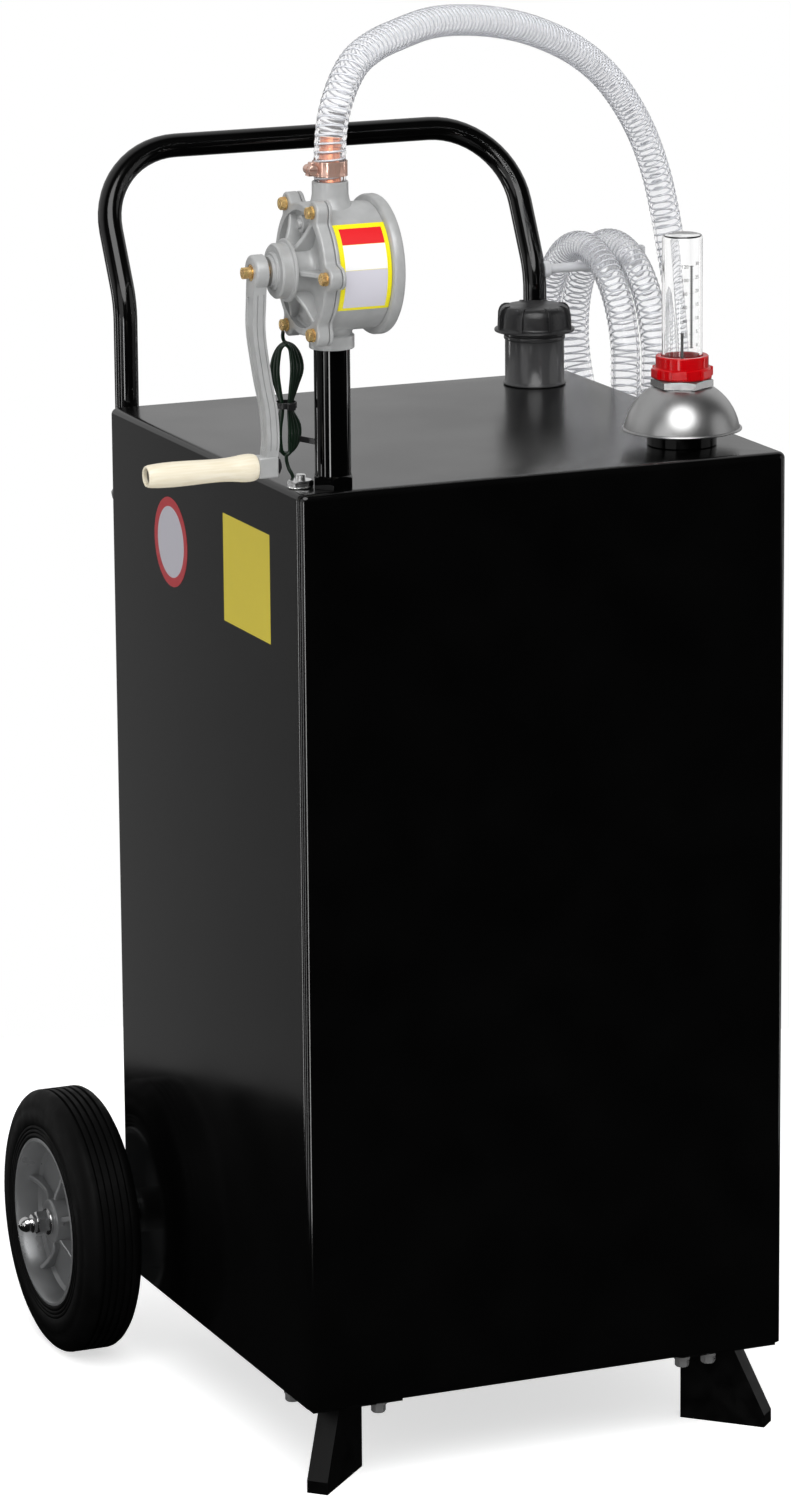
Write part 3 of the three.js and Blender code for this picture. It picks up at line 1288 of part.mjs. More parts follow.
// Assembly
function caddy() {
  const group = new THREE.Group();
  const footAt = (side, label) => bodyMesh(`foot_${label}`, footBody(side), finish.blackPaint);
  const strainerMesh = bodyMesh('suction_strainer', strainerBody(), finish.blackPlastic);
  const columnGroup = new THREE.Group();
  columnGroup.position.set(column.x, column.y, 0);
  columnGroup.add(
    bodyMesh('suction_tube', suctionTube(), finish.blackPaint),
    bodyMesh('column_socket', socketBody(), finish.blackPaint),
    strainerMesh,
  );
  group.add(
    bodyMesh('tank_shell', tankShell(), finish.blackPaint),
    bodyMesh('tank_bottom', tankBottom(), finish.blackPaint),
    footAt(-1, 'left'), footAt(1, 'right'),
    bodyMesh('axle', axleBody(), finish.steel),
    bodyMesh('axle_bracket_left', axleBracketBody(-1), finish.blackPaint),
    bodyMesh('axle_bracket_right', axleBracketBody(1), finish.blackPaint),
    wheelGroup(-1, 'left'), wheelGroup(1, 'right'),
    bodyMesh('handle_frame', handleFrame(), finish.blackPaint),
    bodyMesh('handle_crossbar', crossbarBody(), finish.blackPaint),
    legBoltBody(-1), legBoltBody(1),
    columnGroup, pumpGroup(), fillerGroup(), gaugeGroup(), hoseGroup(), groundGroup(),
  );
  return group;
}

// The origin lies on the floor, under the middle of the object without its hose and wire.
const cordNames = ['hose_arch', 'hose_coil', 'hose_nozzle', 'ground_wire'];

function standOnFloor(group) {
  group.updateMatrixWorld(true);
  const box = new THREE.Box3();
  group.traverse((child) => {
    if (child.isMesh && !cordNames.includes(child.name)) box.expandByObject(child);
  });
  const centre = box.getCenter(new THREE.Vector3());
  group.position.set(-centre.x, -centre.y, -box.min.z);
  console.log(`origin moved by ${group.position.toArray().map((value) => value.toFixed(3)).join(', ')}`);
  return group;
}

export default standOnFloor(caddy());
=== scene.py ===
import math

import bmesh
import bpy
from mathutils import Matrix, Vector


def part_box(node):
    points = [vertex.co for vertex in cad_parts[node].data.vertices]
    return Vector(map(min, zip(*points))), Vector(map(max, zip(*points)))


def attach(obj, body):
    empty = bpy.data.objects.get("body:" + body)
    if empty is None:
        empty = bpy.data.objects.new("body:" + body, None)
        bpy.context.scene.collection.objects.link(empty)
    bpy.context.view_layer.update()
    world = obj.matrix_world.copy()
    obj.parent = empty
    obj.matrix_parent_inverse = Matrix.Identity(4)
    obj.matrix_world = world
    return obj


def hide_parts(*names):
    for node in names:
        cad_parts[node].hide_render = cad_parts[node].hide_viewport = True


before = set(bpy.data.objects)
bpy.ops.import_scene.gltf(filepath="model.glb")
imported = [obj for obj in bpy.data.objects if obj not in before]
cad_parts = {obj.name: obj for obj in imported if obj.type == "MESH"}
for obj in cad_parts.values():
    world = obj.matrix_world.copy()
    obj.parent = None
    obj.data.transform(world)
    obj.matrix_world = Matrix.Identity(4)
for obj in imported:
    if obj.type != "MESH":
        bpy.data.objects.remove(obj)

MM = 0.001
FULL_TURN = 2 * math.pi
UP, BACKWARD = Vector((0, 0, 1)), Vector((0, 1, 0))
OUT_LEFT, OUT_RIGHT = Vector((-1, 0, 0)), Vector((1, 0, 0))
SIDES = ((-1, "left"), (1, "right"))
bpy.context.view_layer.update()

# The solids' own frame: the tank's middle at x = y = 0, its underside at z = 0, all in mm.
TANK_HEIGHT = 710
COLUMN, COLUMN_RADIUS = (-164.5, -178.7), 13.45
PUMP_AXIS = TANK_HEIGHT + 164.5
OUTLET_TOP = PUMP_AXIS + 63.5
GROUND_NUT = (-187, -170)
GAP = 0.3
shell_low, shell_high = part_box("tank_shell")
tank_middle = (shell_low + shell_high) / 2
tank_origin = Vector((tank_middle.x, tank_middle.y, shell_high.z - TANK_HEIGHT * MM))


def spot(x, y, z):
    """A place given in mm in the tank's frame, as a point of the scene."""
    return tank_origin + Vector((x, y, z)) * MM


def turns(count, first=0):
    """Angles at even distances over a full turn."""
    return [FULL_TURN * (i + first) / count for i in range(count)]


# Camera and light

CAMERA_SPOT = spot(-1898.2, -4391.34, 1603.6)
# The directions that the picture shows as right, up and towards the eye.
VIEW = ((0.920206, -0.391351, -0.008068), (0.098618, 0.211841, 0.972316), (-0.378808, -0.895526, 0.233532))
SENSOR_WIDTH, LENS = 36, 150.493
STUDIO_MIDDLE = Vector((0, 0, 0.7))
# Each lamp's place and width in metres, and its power in watts.
LAMPS = {
    "key_lamp": ((-0.78, -2.05, 2.87), 2.7, 66),
    "left_lamp": ((-3, -1.7, 1.5), 2.6, 14),
    "right_lamp": ((3, -1.7, 1.5), 2.6, 9),
}
# Upright tube lamps that show only in gloss: heading from X and width in degrees, and strength.
TUBE_LAMPS = [(-130, 9, 10), (167, 6, 4), (-1, 6, 4), (-164, 7, 5), (131, 7, 5)]
TUBE_LAMP_LOW, TUBE_LAMP_HIGH, TUBE_LAMP_FADE = -0.33, -0.07, 0.04
FLOOR_RADIUS = 1.05


def stand(name, data, place, turn):
    """A camera or a lamp at a place in metres."""
    holder = bpy.data.objects.new(name, data)
    holder.matrix_world = Matrix.LocRotScale(place, turn, None)
    bpy.context.scene.collection.objects.link(holder)
    return holder


def add_camera():
    """The camera stands where the photographer stood, without shift or blur."""
    lens = bpy.data.cameras.new("camera")
    lens.sensor_width = SENSOR_WIDTH
    lens.lens = LENS
    bpy.context.scene.camera = stand("camera", lens, CAMERA_SPOT, Matrix(VIEW).transposed())


def light_scene():
    """One big round key lamp above the camera, and two wide weak ones at its sides."""
    for name, (place, width, power) in LAMPS.items():
        lamp = bpy.data.lights.new(name, "AREA")
        lamp.shape = "DISK"
        lamp.size = width
        lamp.energy = power
        turn = (STUDIO_MIDDLE - Vector(place)).to_track_quat("-Z", "Y").to_matrix()
        stand(name, lamp, Vector(place), turn)


def linear(colour):
    """An sRGB hex colour as linear red, green, blue and full alpha."""
    parts = [int(colour[i:i + 2], 16) / 255 for i in (1, 3, 5)]
    return [c / 12.92 if c <= 0.04045 else ((c + 0.055) / 1.055) ** 2.4 for c in parts] + [1]


def open_socket(sockets, key):
    """The socket of that name that is in use, or the one at that place."""
    if isinstance(key, int):
        return sockets[key]
    return next(s for s in sockets if s.name == key and s.enabled)


def out(node, key=0):
    """A node's output."""
    return open_socket(node.outputs, key)


def add_node(tree, kind, inputs=None, **settings):
    """Adds a node with its settings; each input takes a value, another node or one of its outputs."""
    made = tree.nodes.new("ShaderNode" + kind)
    for key, value in settings.items():
        setattr(made, key, value)
    for key, value in (inputs or {}).items():
        socket = open_socket(made.inputs, key)
        if isinstance(value, bpy.types.Node):
            value = out(value)
        if isinstance(value, bpy.types.NodeSocket):
            tree.links.new(value, socket)
        else:
            socket.default_value = value
    return made


def between(tree, amount, low, high, start=0.3, end=0.7, fade="LINEAR"):
    """A value from low to high as amount goes from start to end, if not said over a noise's middle."""
    return out(add_node(tree, "MapRange", {
        "Value": amount, "From Min": start, "From Max": end, "To Min": low, "To Max": high,
    }, interpolation_type=fade))


def tube_lamp(tree, direction, heading, width, strength):
    """One upright lamp below the horizon, where a standing tube mirrors it to a camera above."""
    angle = math.radians(heading)
    flat = add_node(tree, "CombineXYZ", {"X": out(direction, "X"), "Y": out(direction, "Y")})
    flat = add_node(tree, "VectorMath", {0: flat}, operation="NORMALIZE")
    facing = add_node(tree, "VectorMath", {0: flat, 1: (math.cos(angle), math.sin(angle), 0)},
                      operation="DOT_PRODUCT")
    edge, core = math.cos(math.radians(width / 2)), math.cos(math.radians(width / 4))
    across = between(tree, out(facing, "Value"), 0, strength, edge, core, "SMOOTHSTEP")
    height = out(direction, "Z")
    lower = between(tree, height, 0, 1, TUBE_LAMP_LOW, TUBE_LAMP_LOW + TUBE_LAMP_FADE, "SMOOTHSTEP")
    upper = between(tree, height, 1, 0, TUBE_LAMP_HIGH, TUBE_LAMP_HIGH + TUBE_LAMP_FADE, "SMOOTHSTEP")
    band = add_node(tree, "Math", {0: lower, 1: upper}, operation="MULTIPLY")
    return add_node(tree, "Math", {0: across, 1: band}, operation="MULTIPLY")


def light_world():
    """A pale studio: white to the eye and through clear plastic, bright behind the object
    and dark before it in reflections, as the gloss of the tank shows, and even fill light."""
    world = bpy.data.worlds.new("studio")
    bpy.context.scene.world = world
    world.use_nodes = True
    tree = world.node_tree
    tree.nodes.clear()
    path = add_node(tree, "LightPath")
    direction = add_node(tree, "SeparateXYZ", {0: out(add_node(tree, "TexCoord"), "Generated")})
    behind = between(tree, out(direction, "Y"), 0.03, 1, -0.1, 0.35, "SMOOTHSTEP")
    above = between(tree, out(direction, "Z"), 0.2, 0.6, -0.05, 0.06, "SMOOTHSTEP")
    mirrored = add_node(tree, "Math", {0: behind, 1: above}, operation="MULTIPLY")
    for lamp in TUBE_LAMPS:
        lit = tube_lamp(tree, direction, *lamp)
        mirrored = add_node(tree, "Math", {0: mirrored, 1: lit}, operation="ADD")
    soft, gloss, white = (
        add_node(tree, "Background", {"Color": linear("#ffffff"), "Strength": strength})
        for strength in (0.5, mirrored, 1)
    )
    seen = add_node(tree, "Math", {0: out(path, "Is Camera Ray"), 1: out(path, "Is Transmission Ray")},
                    operation="MAXIMUM")
    reflected = add_node(tree, "MixShader", {0: out(path, "Is Glossy Ray"), 1: soft, 2: gloss})
    shown = add_node(tree, "MixShader", {0: seen, 1: reflected, 2: white})
    add_node(tree, "OutputWorld", {"Surface": shown})


def lay_floor():
    """A round pale floor: white to the eye but for the object's shadow, and dark in gloss near by."""
    bpy.ops.mesh.primitive_circle_add(vertices=96, radius=FLOOR_RADIUS, fill_type="NGON")
    floor = bpy.context.object
    floor.name = "floor"
    paint = bpy.data.materials.new("pale_floor")
    paint.use_nodes = True
    tree = paint.node_tree
    tree.nodes.clear()
    path = add_node(tree, "LightPath")
    matt = add_node(tree, "BsdfDiffuse", {"Color": linear("#f4f4f4")})
    glow = add_node(tree, "Emission", {"Color": linear("#ffffff"), "Strength": 0.62})
    pale = add_node(tree, "AddShader", {0: matt, 1: glow})
    dark = add_node(tree, "Emission", {"Color": linear("#ffffff"), "Strength": 0.006})
    shown = add_node(tree, "MixShader", {0: out(path, "Is Glossy Ray"), 1: pale, 2: dark})
    add_node(tree, "OutputMaterial", {"Surface": shown})
    floor.data.materials.append(paint)


bpy.ops.object.select_all(action="DESELECT")
bpy.context.scene.view_settings.view_transform = "Standard"
add_camera()
light_world()
light_scene()
lay_floor()


# Finishes

def noise(tree, size_mm, detail=2, stretch=(1, 1, 1)):
    """Noise whose features are about size_mm wide, in the piece's own coordinates."""
    place = out(add_node(tree, "TexCoord"), "Object")
    if stretch != (1, 1, 1):
        place = add_node(tree, "Mapping", {"Vector": place, "Scale": stretch})
    inputs = {"Vector": place, "Scale": 1 / (size_mm * MM), "Detail": detail}
    return out(add_node(tree, "TexNoise", inputs))


def finish(name, colour, tone=None, gloss=None, relief=None, **values):
    """A material of one main shader, with its colour and plain values. tone is the two hex colours that
    it wanders between, gloss the two roughnesses, and relief the depth in mm and the strength of its
    bump, each followed by what its noise takes."""
    made = bpy.data.materials.new(name)
    made.use_nodes = True
    tree = made.node_tree
    shader = tree.nodes["Principled BSDF"]
    shader.inputs["Base Color"].default_value = linear(colour)
    for key, value in values.items():
        shader.inputs[key.replace("_", " ").title().replace("Ior", "IOR")].default_value = value
    if tone:
        first, second, *grain = tone
        amount = between(tree, noise(tree, *grain), 0, 1)
        colours = {"Factor": amount, "A": linear(first), "B": linear(second)}
        mixed = add_node(tree, "Mix", colours, data_type="RGBA")
        tree.links.new(out(mixed, "Result"), shader.inputs["Base Color"])
    if gloss:
        low, high, *grain = gloss
        tree.links.new(between(tree, noise(tree, *grain), low, high), shader.inputs["Roughness"])
    if relief:
        depth_mm, strength, *grain = relief
        dent = add_node(tree, "Bump", {
            "Height": noise(tree, *grain), "Distance": depth_mm * MM, "Strength": strength,
        })
        tree.links.new(out(dent), shader.inputs["Normal"])
    return made


def wiped_on_top(material):
    """The tank's top is handled and wiped, so it mirrors less sharply than the sides."""
    tree = material.node_tree
    rough = tree.nodes["Principled BSDF"].inputs["Roughness"]
    up = add_node(tree, "SeparateXYZ", {0: out(add_node(tree, "NewGeometry"), "Normal")})
    top = between(tree, out(up, "Z"), 0, 0.11, 0.8, 0.95)
    added = add_node(tree, "Math", {0: rough.links[0].from_socket, 1: top}, operation="ADD")
    tree.links.new(out(added), rough)
    return material


# Grey enamel over a die casting: soft shine, grain of 0.7 mm, slightly uneven tone.
CAST = {"tone": ("#abacac", "#b7b8b8", 14), "gloss": (0.33, 0.45, 8), "relief": (0.05, 0.35, 0.7, 3)}
# Moulded plastic: an even satin skin with a 1 mm spark-eroded grain.
MOULDED = {"gloss": (0.26, 0.36, 15), "relief": (0.02, 0.25, 1, 2)}
# Plastic from a polished mould: shiny, with sink marks about 9 mm wide that barely show.
GLOSS_MOULDED = {"gloss": (0.14, 0.22, 12), "relief": (0.02, 0.15, 9, 1)}
# Plated steel: bright, with slightly cloudy patches.
PLATED = {"gloss": (0.12, 0.24, 5)}
# Yellow zinc and turned brass: gold with a greenish and pinkish drift from place to place.
PASSIVATED = {"tone": ("#efd08a", "#deb277", 4), "gloss": (0.2, 0.34, 3), "metallic": 0.7}
# Laminated vinyl film: smooth and even, its gloss barely rubbed in patches 30 mm wide.
FILM_SKIN = {"gloss": (0.34, 0.38, 30), "roughness": 0.34}

# Stoved enamel on the sheet: deep black, mirror-like, with a faint orange peel about 4 mm wide.
gloss_black = wiped_on_top(finish("black_enamel", "#030303", ("#020202", "#040404", 60), (0.09, 0.13, 90),
                                  (0.004, 0.3, 4, 1), roughness=0.11))
# Enamel on drawn tube: smoother than on the sheet, so it mirrors in sharp streaks.
tube_black = finish("black_enamel_on_tube", "#020202", None, (0.05, 0.08, 60), (0.003, 0.15, 6, 1),
                    roughness=0.07)
# Enamel on thick folded sheet: satin, scuffed in patches about 12 mm wide.
foot_black = finish("black_enamel_on_feet", "#030303", ("#020202", "#060606", 12), (0.3, 0.42, 12),
                    roughness=0.35, specular_ior_level=0.25)
cast_grey = finish("grey_cast_aluminium", "#b1b2b2", **CAST, metallic=0.2, roughness=0.4)
nozzle_alloy = finish("cast_nozzle_alloy", "#9a9b9c", **CAST, metallic=0.6, roughness=0.4)
# Spun aluminium: fine grooves left round the axis, drawn 0.5 mm wide so that they show.
spun_aluminium = finish("spun_aluminium", "#b8b8b8", ("#b4b4b4", "#bdbdbd", 25), None,
                        (0.01, 0.3, 0.5, 2, (1, 1, 12)), metallic=1, roughness=0.33)
# Vulcanised rubber: dull, near black, with a fine 0.8 mm grain.
tyre_rubber = finish("tyre_rubber", "#040404", ("#020202", "#050505", 20), (0.5, 0.66, 12),
                     (0.05, 0.3, 0.8, 3), roughness=0.6, specular_ior_level=0.12)
# Grey stoved enamel over the wheel's centre: even tone, faint orange peel 2 mm wide.
rim_enamel = finish("grey_rim_enamel", "#7b7c7d", ("#777879", "#818283", 30), (0.27, 0.35, 20),
                    (0.01, 0.2, 2, 1), metallic=0.55, roughness=0.33)
black_moulding = finish("black_polypropylene", "#1c1c1d", **MOULDED, roughness=0.3)
cap_moulding = finish("dark_grey_polypropylene", "#232324", **MOULDED, roughness=0.3)
green_vinyl = finish("green_pvc_flex", "#0c2113", **MOULDED, roughness=0.25)
grey_moulding = finish("grey_pvc_pipe", "#404041", **GLOSS_MOULDED, roughness=0.16)
red_moulding = finish("red_polypropylene", "#bb0008", **GLOSS_MOULDED, roughness=0.2, specular_ior_level=0.3)
plated_steel = finish("bright_plated_steel", "#d4d4d4", **PLATED, metallic=1, roughness=0.18)
dull_steel = finish("dull_steel", "#8b8c8d", **PLATED, metallic=1, roughness=0.4)
nut_steel = finish("satin_plated_steel", "#989898", **PLATED, metallic=0.7, roughness=0.3)
clamp_steel = finish("reddish_clamp_steel", "#dab4a4", **PLATED, metallic=0.6, roughness=0.28)
needle_steel = finish("blackened_steel", "#2c2c2d", **PLATED, metallic=0.4, roughness=0.4)
helix_steel = finish("hose_helix_steel", "#d3d5da", **PLATED, metallic=0.3, roughness=0.3)
white_zinc = finish("white_zinc_rod", "#dedfe2", **PLATED, metallic=0.2, roughness=0.35)
bright_nickel = finish("bright_nickel", "#f2f2f2", **PLATED, metallic=1, roughness=0.12)
copper_brass = finish("red_brass", "#c9764c", **PLATED, metallic=0.6, roughness=0.3)
yellow_zinc = finish("yellow_zinc_steel", "#e7c180", **PASSIVATED, roughness=0.28)
turned_brass = finish("turned_brass", "#e0b868", **PASSIVATED, roughness=0.24)
# Varnished beech, nearly white: long grain along X, 1.5 mm wide, with short dark flecks.
BEECH_GRAIN = 1.5, 3, (0.06, 1, 1)
varnished_beech = finish("varnished_beech", "#ebe2ca", ("#f1e9d5", "#e5dac0", *BEECH_GRAIN), None,
                         (0.05, 0.3, *BEECH_GRAIN), roughness=0.38)
# Screen printing ink: dull, slightly uneven in gloss.
printed_ink = finish("black_printing_ink", "#050505", gloss=(0.42, 0.58, 2), roughness=0.5)
yellow_film = finish("yellow_label_film", "#f2e600", **FILM_SKIN)
dull_yellow_film = finish("ochre_label_film", "#cdbb2e", **FILM_SKIN)
red_film = finish("red_label_film", "#e0101a", **FILM_SKIN)
# The round label's rim film is red, coloured darker here as painted shade of the tank's shaded left side.
rim_film_painted_shade = finish("round_label_red_with_painted_shade", "#a8222b", **FILM_SKIN)
white_film = finish("white_label_film", "#f4f4f4", **FILM_SKIN)
pale_film = finish("pale_grey_label_film", "#cfcdd6", **FILM_SKIN)
# The round label's disc is white film, coloured grey here as painted shade of the tank's shaded left side.
disc_film_painted_shade = finish("grey_label_film", "#b4b2ba", **FILM_SKIN)
# Drawn acrylic tube: water clear, with the faintest drawing ripple 8 mm long.
clear_acrylic = finish("clear_acrylic", "#ffffff", relief=(0.005, 0.1, 8, 1, (1, 1, 0.3)),
                       transmission_weight=1, roughness=0.02, ior=1.49)
# Soft clear vinyl: slightly cloudy patches and a soft ripple about 5 mm wide.
clear_vinyl = finish("clear_pvc_hose", "#fdfdfe", None, (0.04, 0.1, 9), (0.02, 0.15, 5, 1),
                     transmission_weight=0.93, roughness=0.05, ior=1.12)

NODE_OWN_FINISHES = {"foot_left": foot_black, "foot_right": foot_black}
SLOT_FINISHES = {
    "black_paint": gloss_black, "cast_aluminium": cast_grey, "bright_steel": plated_steel,
    "yellow_zinc": yellow_zinc, "brass": turned_brass, "black_plastic": black_moulding,
    "grey_plastic": grey_moulding, "red_plastic": red_moulding, "clear_plastic": clear_acrylic,
    "clear_vinyl": clear_vinyl, "rubber": tyre_rubber, "tyre": tyre_rubber, "grey_enamel": rim_enamel,
    "beech": varnished_beech, "green_vinyl": green_vinyl, "steel": dull_steel,
}


def dress_solids():
    """Every solid that stays in view gets its own finish, or that of its slot in the record."""
    for name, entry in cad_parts.items():
        for place in entry.material_slots:
            slot_name = place.material.name.split(".")[0] if place.material else ""
            place.material = NODE_OWN_FINISHES.get(name) or SLOT_FINISHES.get(slot_name, gloss_black)


dress_solids()


# Cords

HOSE_RADIUS, HOSE_VALLEY, HOSE_BORE = 12 * MM, 11.5 * MM, 9.6 * MM
HOSE_SIDES, HOSE_STEPS, HOSE_PATH_STEPS = 20, 12, 260
RIB_PITCH = 6 * MM
HELIX_RADIUS, HELIX_SIDES, HELIX_STEPS = 0.8 * MM, 5, 12
COIL_CENTRE = (270, 217.7, 714)
COIL_RADIUS, COIL_PITCH = 93, 27
COIL_FROM, COIL_TO, COIL_STEPS = -1 / 16, 2, 24
ARCH_RISE = 98.3
# The free stretch, listed: how far on from the outlet to the coil in X and in Y, and how
# high over the outlet, as a share of the arch's rise.
ARCH_SHARES = [
    (0, 0, 0.003), (0, 0, 0.173), (0.008, 0.007, 0.434), (0.032, 0.027, 0.663), (0.068, 0.059, 0.829),
    (0.12, 0.104, 0.921), (0.194, 0.168, 0.972), (0.28, 0.243, 1), (0.368, 0.319, 0.969),
    (0.485, 0.42, 0.875), (0.599, 0.52, 0.727), (0.724, 0.628, 0.488), (0.818, 0.71, 0.215),
    (0.89, 0.771, -0.104), (0.938, 0.812, -0.394), (0.972, 0.836, -0.712), (0.994, 0.849, -1.038),
]
HANK = {"beside": 26.5, "behind": 25.7, "top": 105.5, "waist": 60, "bottom": 22.5,
        "step_x": 1.4, "step_y": 3.25}
HANK_HALVES = {"upper": 13.6, "lower": 11.9, "waist": 2.3, "nest": 2.7}
HANK_SHARES = {"skew": 1.3, "fullness": 0.8, "turn": 3}
WIRE_RADIUS, WIRE_SIDES, WIRE_LOOPS, WIRE_STEPS = 1.4, 10, 3, 18
# From the pump's axis, and from the foot of the bonding nut.
WIRE_START = [(-27.3, 27.8, -50.5), (-26.6, 30.2, -54.5), (-25.3, 31.4, -57.8)]
WIRE_END = [(-4.6, 11.9, 13), (-1.2, 13.3, 7.4), (0, 13.5, 1.8)]


def centripetal(points, steps):
    """A centripetal Catmull-Rom curve through the points, with steps chords between each two."""
    ends = [2 * points[0] - points[1], *points, 2 * points[-1] - points[-2]]
    line = []
    for a, b, c, d in zip(ends, ends[1:], ends[2:], ends[3:]):
        knots = [0]
        for p, q in ((a, b), (b, c), (c, d)):
            knots.append(knots[-1] + (q - p).length ** 0.5)
        t0, t1, t2, t3 = knots
        for i in range(steps):
            t = t1 + (t2 - t1) * i / steps
            ab = a * ((t1 - t) / (t1 - t0)) + b * ((t - t0) / (t1 - t0))
            bc = b * ((t2 - t) / (t2 - t1)) + c * ((t - t1) / (t2 - t1))
            cd = c * ((t3 - t) / (t3 - t2)) + d * ((t - t2) / (t3 - t2))
            low = ab * ((t2 - t) / (t2 - t0)) + bc * ((t - t0) / (t2 - t0))
            high = bc * ((t3 - t) / (t3 - t1)) + cd * ((t - t1) / (t3 - t1))
            line.append(low * ((t2 - t) / (t2 - t1)) + high * ((t - t1) / (t2 - t1)))
    return line + [points[-1].copy()]


def line_length(line):
    """The length of a row of points."""
    return sum((b - a).length for a, b in zip(line, line[1:]))


def evenly(line, count):
    """The same line with count + 1 points at even distances."""
    step = line_length(line) / count
    spread = [line[0].copy()]
    carried = 0
    for a, b in zip(line, line[1:]):
        chord = (b - a).length
        while chord and carried + chord >= step * len(spread) and len(spread) < count:
            spread.append(a.lerp(b, (step * len(spread) - carried) / chord))
        carried += chord
    return spread + [line[-1].copy()]


def frames_along(line):
    """For each point two directions square to the line, turned as little as can be."""
    last = len(line) - 1
    tangents = [(line[min(i + 1, last)] - line[max(i - 1, 0)]).normalized() for i in range(len(line))]
    side = tangents[0].orthogonal().normalized()
    frames = []
    for tangent in tangents:
        side = (side - tangent * side.dot(tangent)).normalized()
        frames.append((side, tangent.cross(side)))
    return frames


def skinned(name, rings, material, joined=False):
    """A skin over rings of points with equal counts; the last ring meets the first if joined."""
    mesh = bmesh.new()
    rows = [[mesh.verts.new(p) for p in ring] for ring in rings]
    pairs = list(zip(rows, rows[1:])) + ([(rows[-1], rows[0])] if joined else [])
    for low, high in pairs:
        for i in range(len(low)):
            j = (i + 1) % len(low)
            mesh.faces.new((low[i], low[j], high[j], high[i]))
    if not joined:
        mesh.faces.new(rows[0][::-1])
        mesh.faces.new(rows[-1])
    bmesh.ops.recalc_face_normals(mesh, faces=mesh.faces)
    data = bpy.data.meshes.new(name)
    mesh.to_mesh(data)
    mesh.free()
    for face in data.polygons:
        face.use_smooth = True
    data.materials.append(material)
    made = bpy.data.objects.new(name, data)
    bpy.context.scene.collection.objects.link(made)
    return made


def ring_at(point, frame_pair, radius, sides):
    """A ring of points round a place on a line."""
    side, up = frame_pair
    return [point + (side * math.cos(a) + up * math.sin(a)) * radius for a in turns(sides)]


def tube_along(name, line, radius, sides, material):
    """A round skin along a line."""
    return skinned(name, [ring_at(p, f, radius, sides) for p, f in zip(line, frames_along(line))], material)


def arch_points():
    """The free stretch's points, from the pump's outlet towards the coil."""
    (start_x, start_y), (end_x, end_y) = COLUMN, COIL_CENTRE[:2]
    return [
        spot(start_x + (end_x - start_x) * along_x, start_y + (end_y - start_y) * along_y,
             OUTLET_TOP + ARCH_RISE * up)
        for along_x, along_y, up in ARCH_SHARES
    ]


def coil_point(turn):
    """A place on the stored coil, which hangs on its hook with its axis along X."""
    x, y, z = COIL_CENTRE
    angle = FULL_TURN * turn
    return spot(x - COIL_PITCH * turn, y - COIL_RADIUS * math.cos(angle), z - COIL_RADIUS * math.sin(angle))


def coil_lead(turn, length):
    """A place straight on from the coil's end."""
    angle = FULL_TURN * turn
    return coil_point(turn) + Vector((0, math.sin(angle), -math.cos(angle))) * length


def hose_line():
    """The whole hose: the free arch, then the coil with a straight lead at both ends."""
    steps = round((COIL_TO - COIL_FROM) * COIL_STEPS)
    coil = [coil_point(COIL_FROM + (COIL_TO - COIL_FROM) * i / steps) for i in range(steps + 1)]
    straight = 2 * HOSE_RADIUS
    coil = [coil_lead(COIL_FROM, -straight), *coil, coil_lead(COIL_TO, straight)]
    along = (coil[0] - coil[1]).normalized()
    joins = [coil[0] + along * length for length in (1.5 * straight, straight, 0.5 * straight)]
    return centripetal(arch_points() + joins + coil, HOSE_STEPS)


def make_hose():
    """Clear vinyl suction hose with a steel helix in its wall: one length, coil and arch in one."""
    line = hose_line()
    length = line_length(line)
    stations = evenly(line, 4 * round(length / RIB_PITCH))
    frames = frames_along(stations)
    slope = (HOSE_VALLEY + HOSE_RADIUS) / 2
    shape = [HOSE_VALLEY, slope, HOSE_RADIUS, slope]
    outside = [ring_at(p, f, shape[i % 4], HOSE_SIDES) for i, (p, f) in enumerate(zip(stations, frames))]
    inside = [ring_at(p, f, HOSE_BORE, HOSE_SIDES) for p, f in zip(stations[::4], frames[::4])]
    hose = skinned("delivery_hose", outside + inside[::-1], clear_vinyl, joined=True)
    helix = make_helix(stations, frames)
    for piece in (hose, helix):
        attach(piece, "tank")
    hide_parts("hose_arch", "hose_coil")
    evenly(line, HOSE_PATH_STEPS)


def make_helix(stations, frames):
    """The wire that keeps the hose round, wound inside its wall."""
    radius = (HOSE_BORE + HOSE_VALLEY) / 2
    line = []
    for i in range((len(stations) - 1) // 4 * HELIX_STEPS + 1):
        place = i * 4 / HELIX_STEPS
        low = min(int(place), len(stations) - 2)
        share = place - low
        side, up = (a.lerp(b, share) for a, b in zip(frames[low], frames[low + 1]))
        angle = FULL_TURN * i / HELIX_STEPS
        out_from = (side * math.cos(angle) + up * math.sin(angle)) * radius
        line.append(stations[low].lerp(stations[low + 1], share) + out_from)
    return tube_along("hose_helix", line, HELIX_RADIUS, HELIX_SIDES, helix_steel)


def hank_half(z, turn):
    """Half the width of a loop at a height, drawn in at the tie and nested in the loop before it."""
    upper = z > HANK["waist"]
    span = HANK["top"] - HANK["waist"] if upper else HANK["waist"] - HANK["bottom"]
    share = min(abs(z - HANK["waist"]) / span, 1)
    full = HANK_HALVES["upper" if upper else "lower"] - HANK_HALVES["nest"] * turn
    bulge = math.sin(math.pi * share ** HANK_SHARES["skew"]) ** HANK_SHARES["fullness"]
    return HANK_HALVES["waist"] + (full - HANK_HALVES["waist"]) * bulge


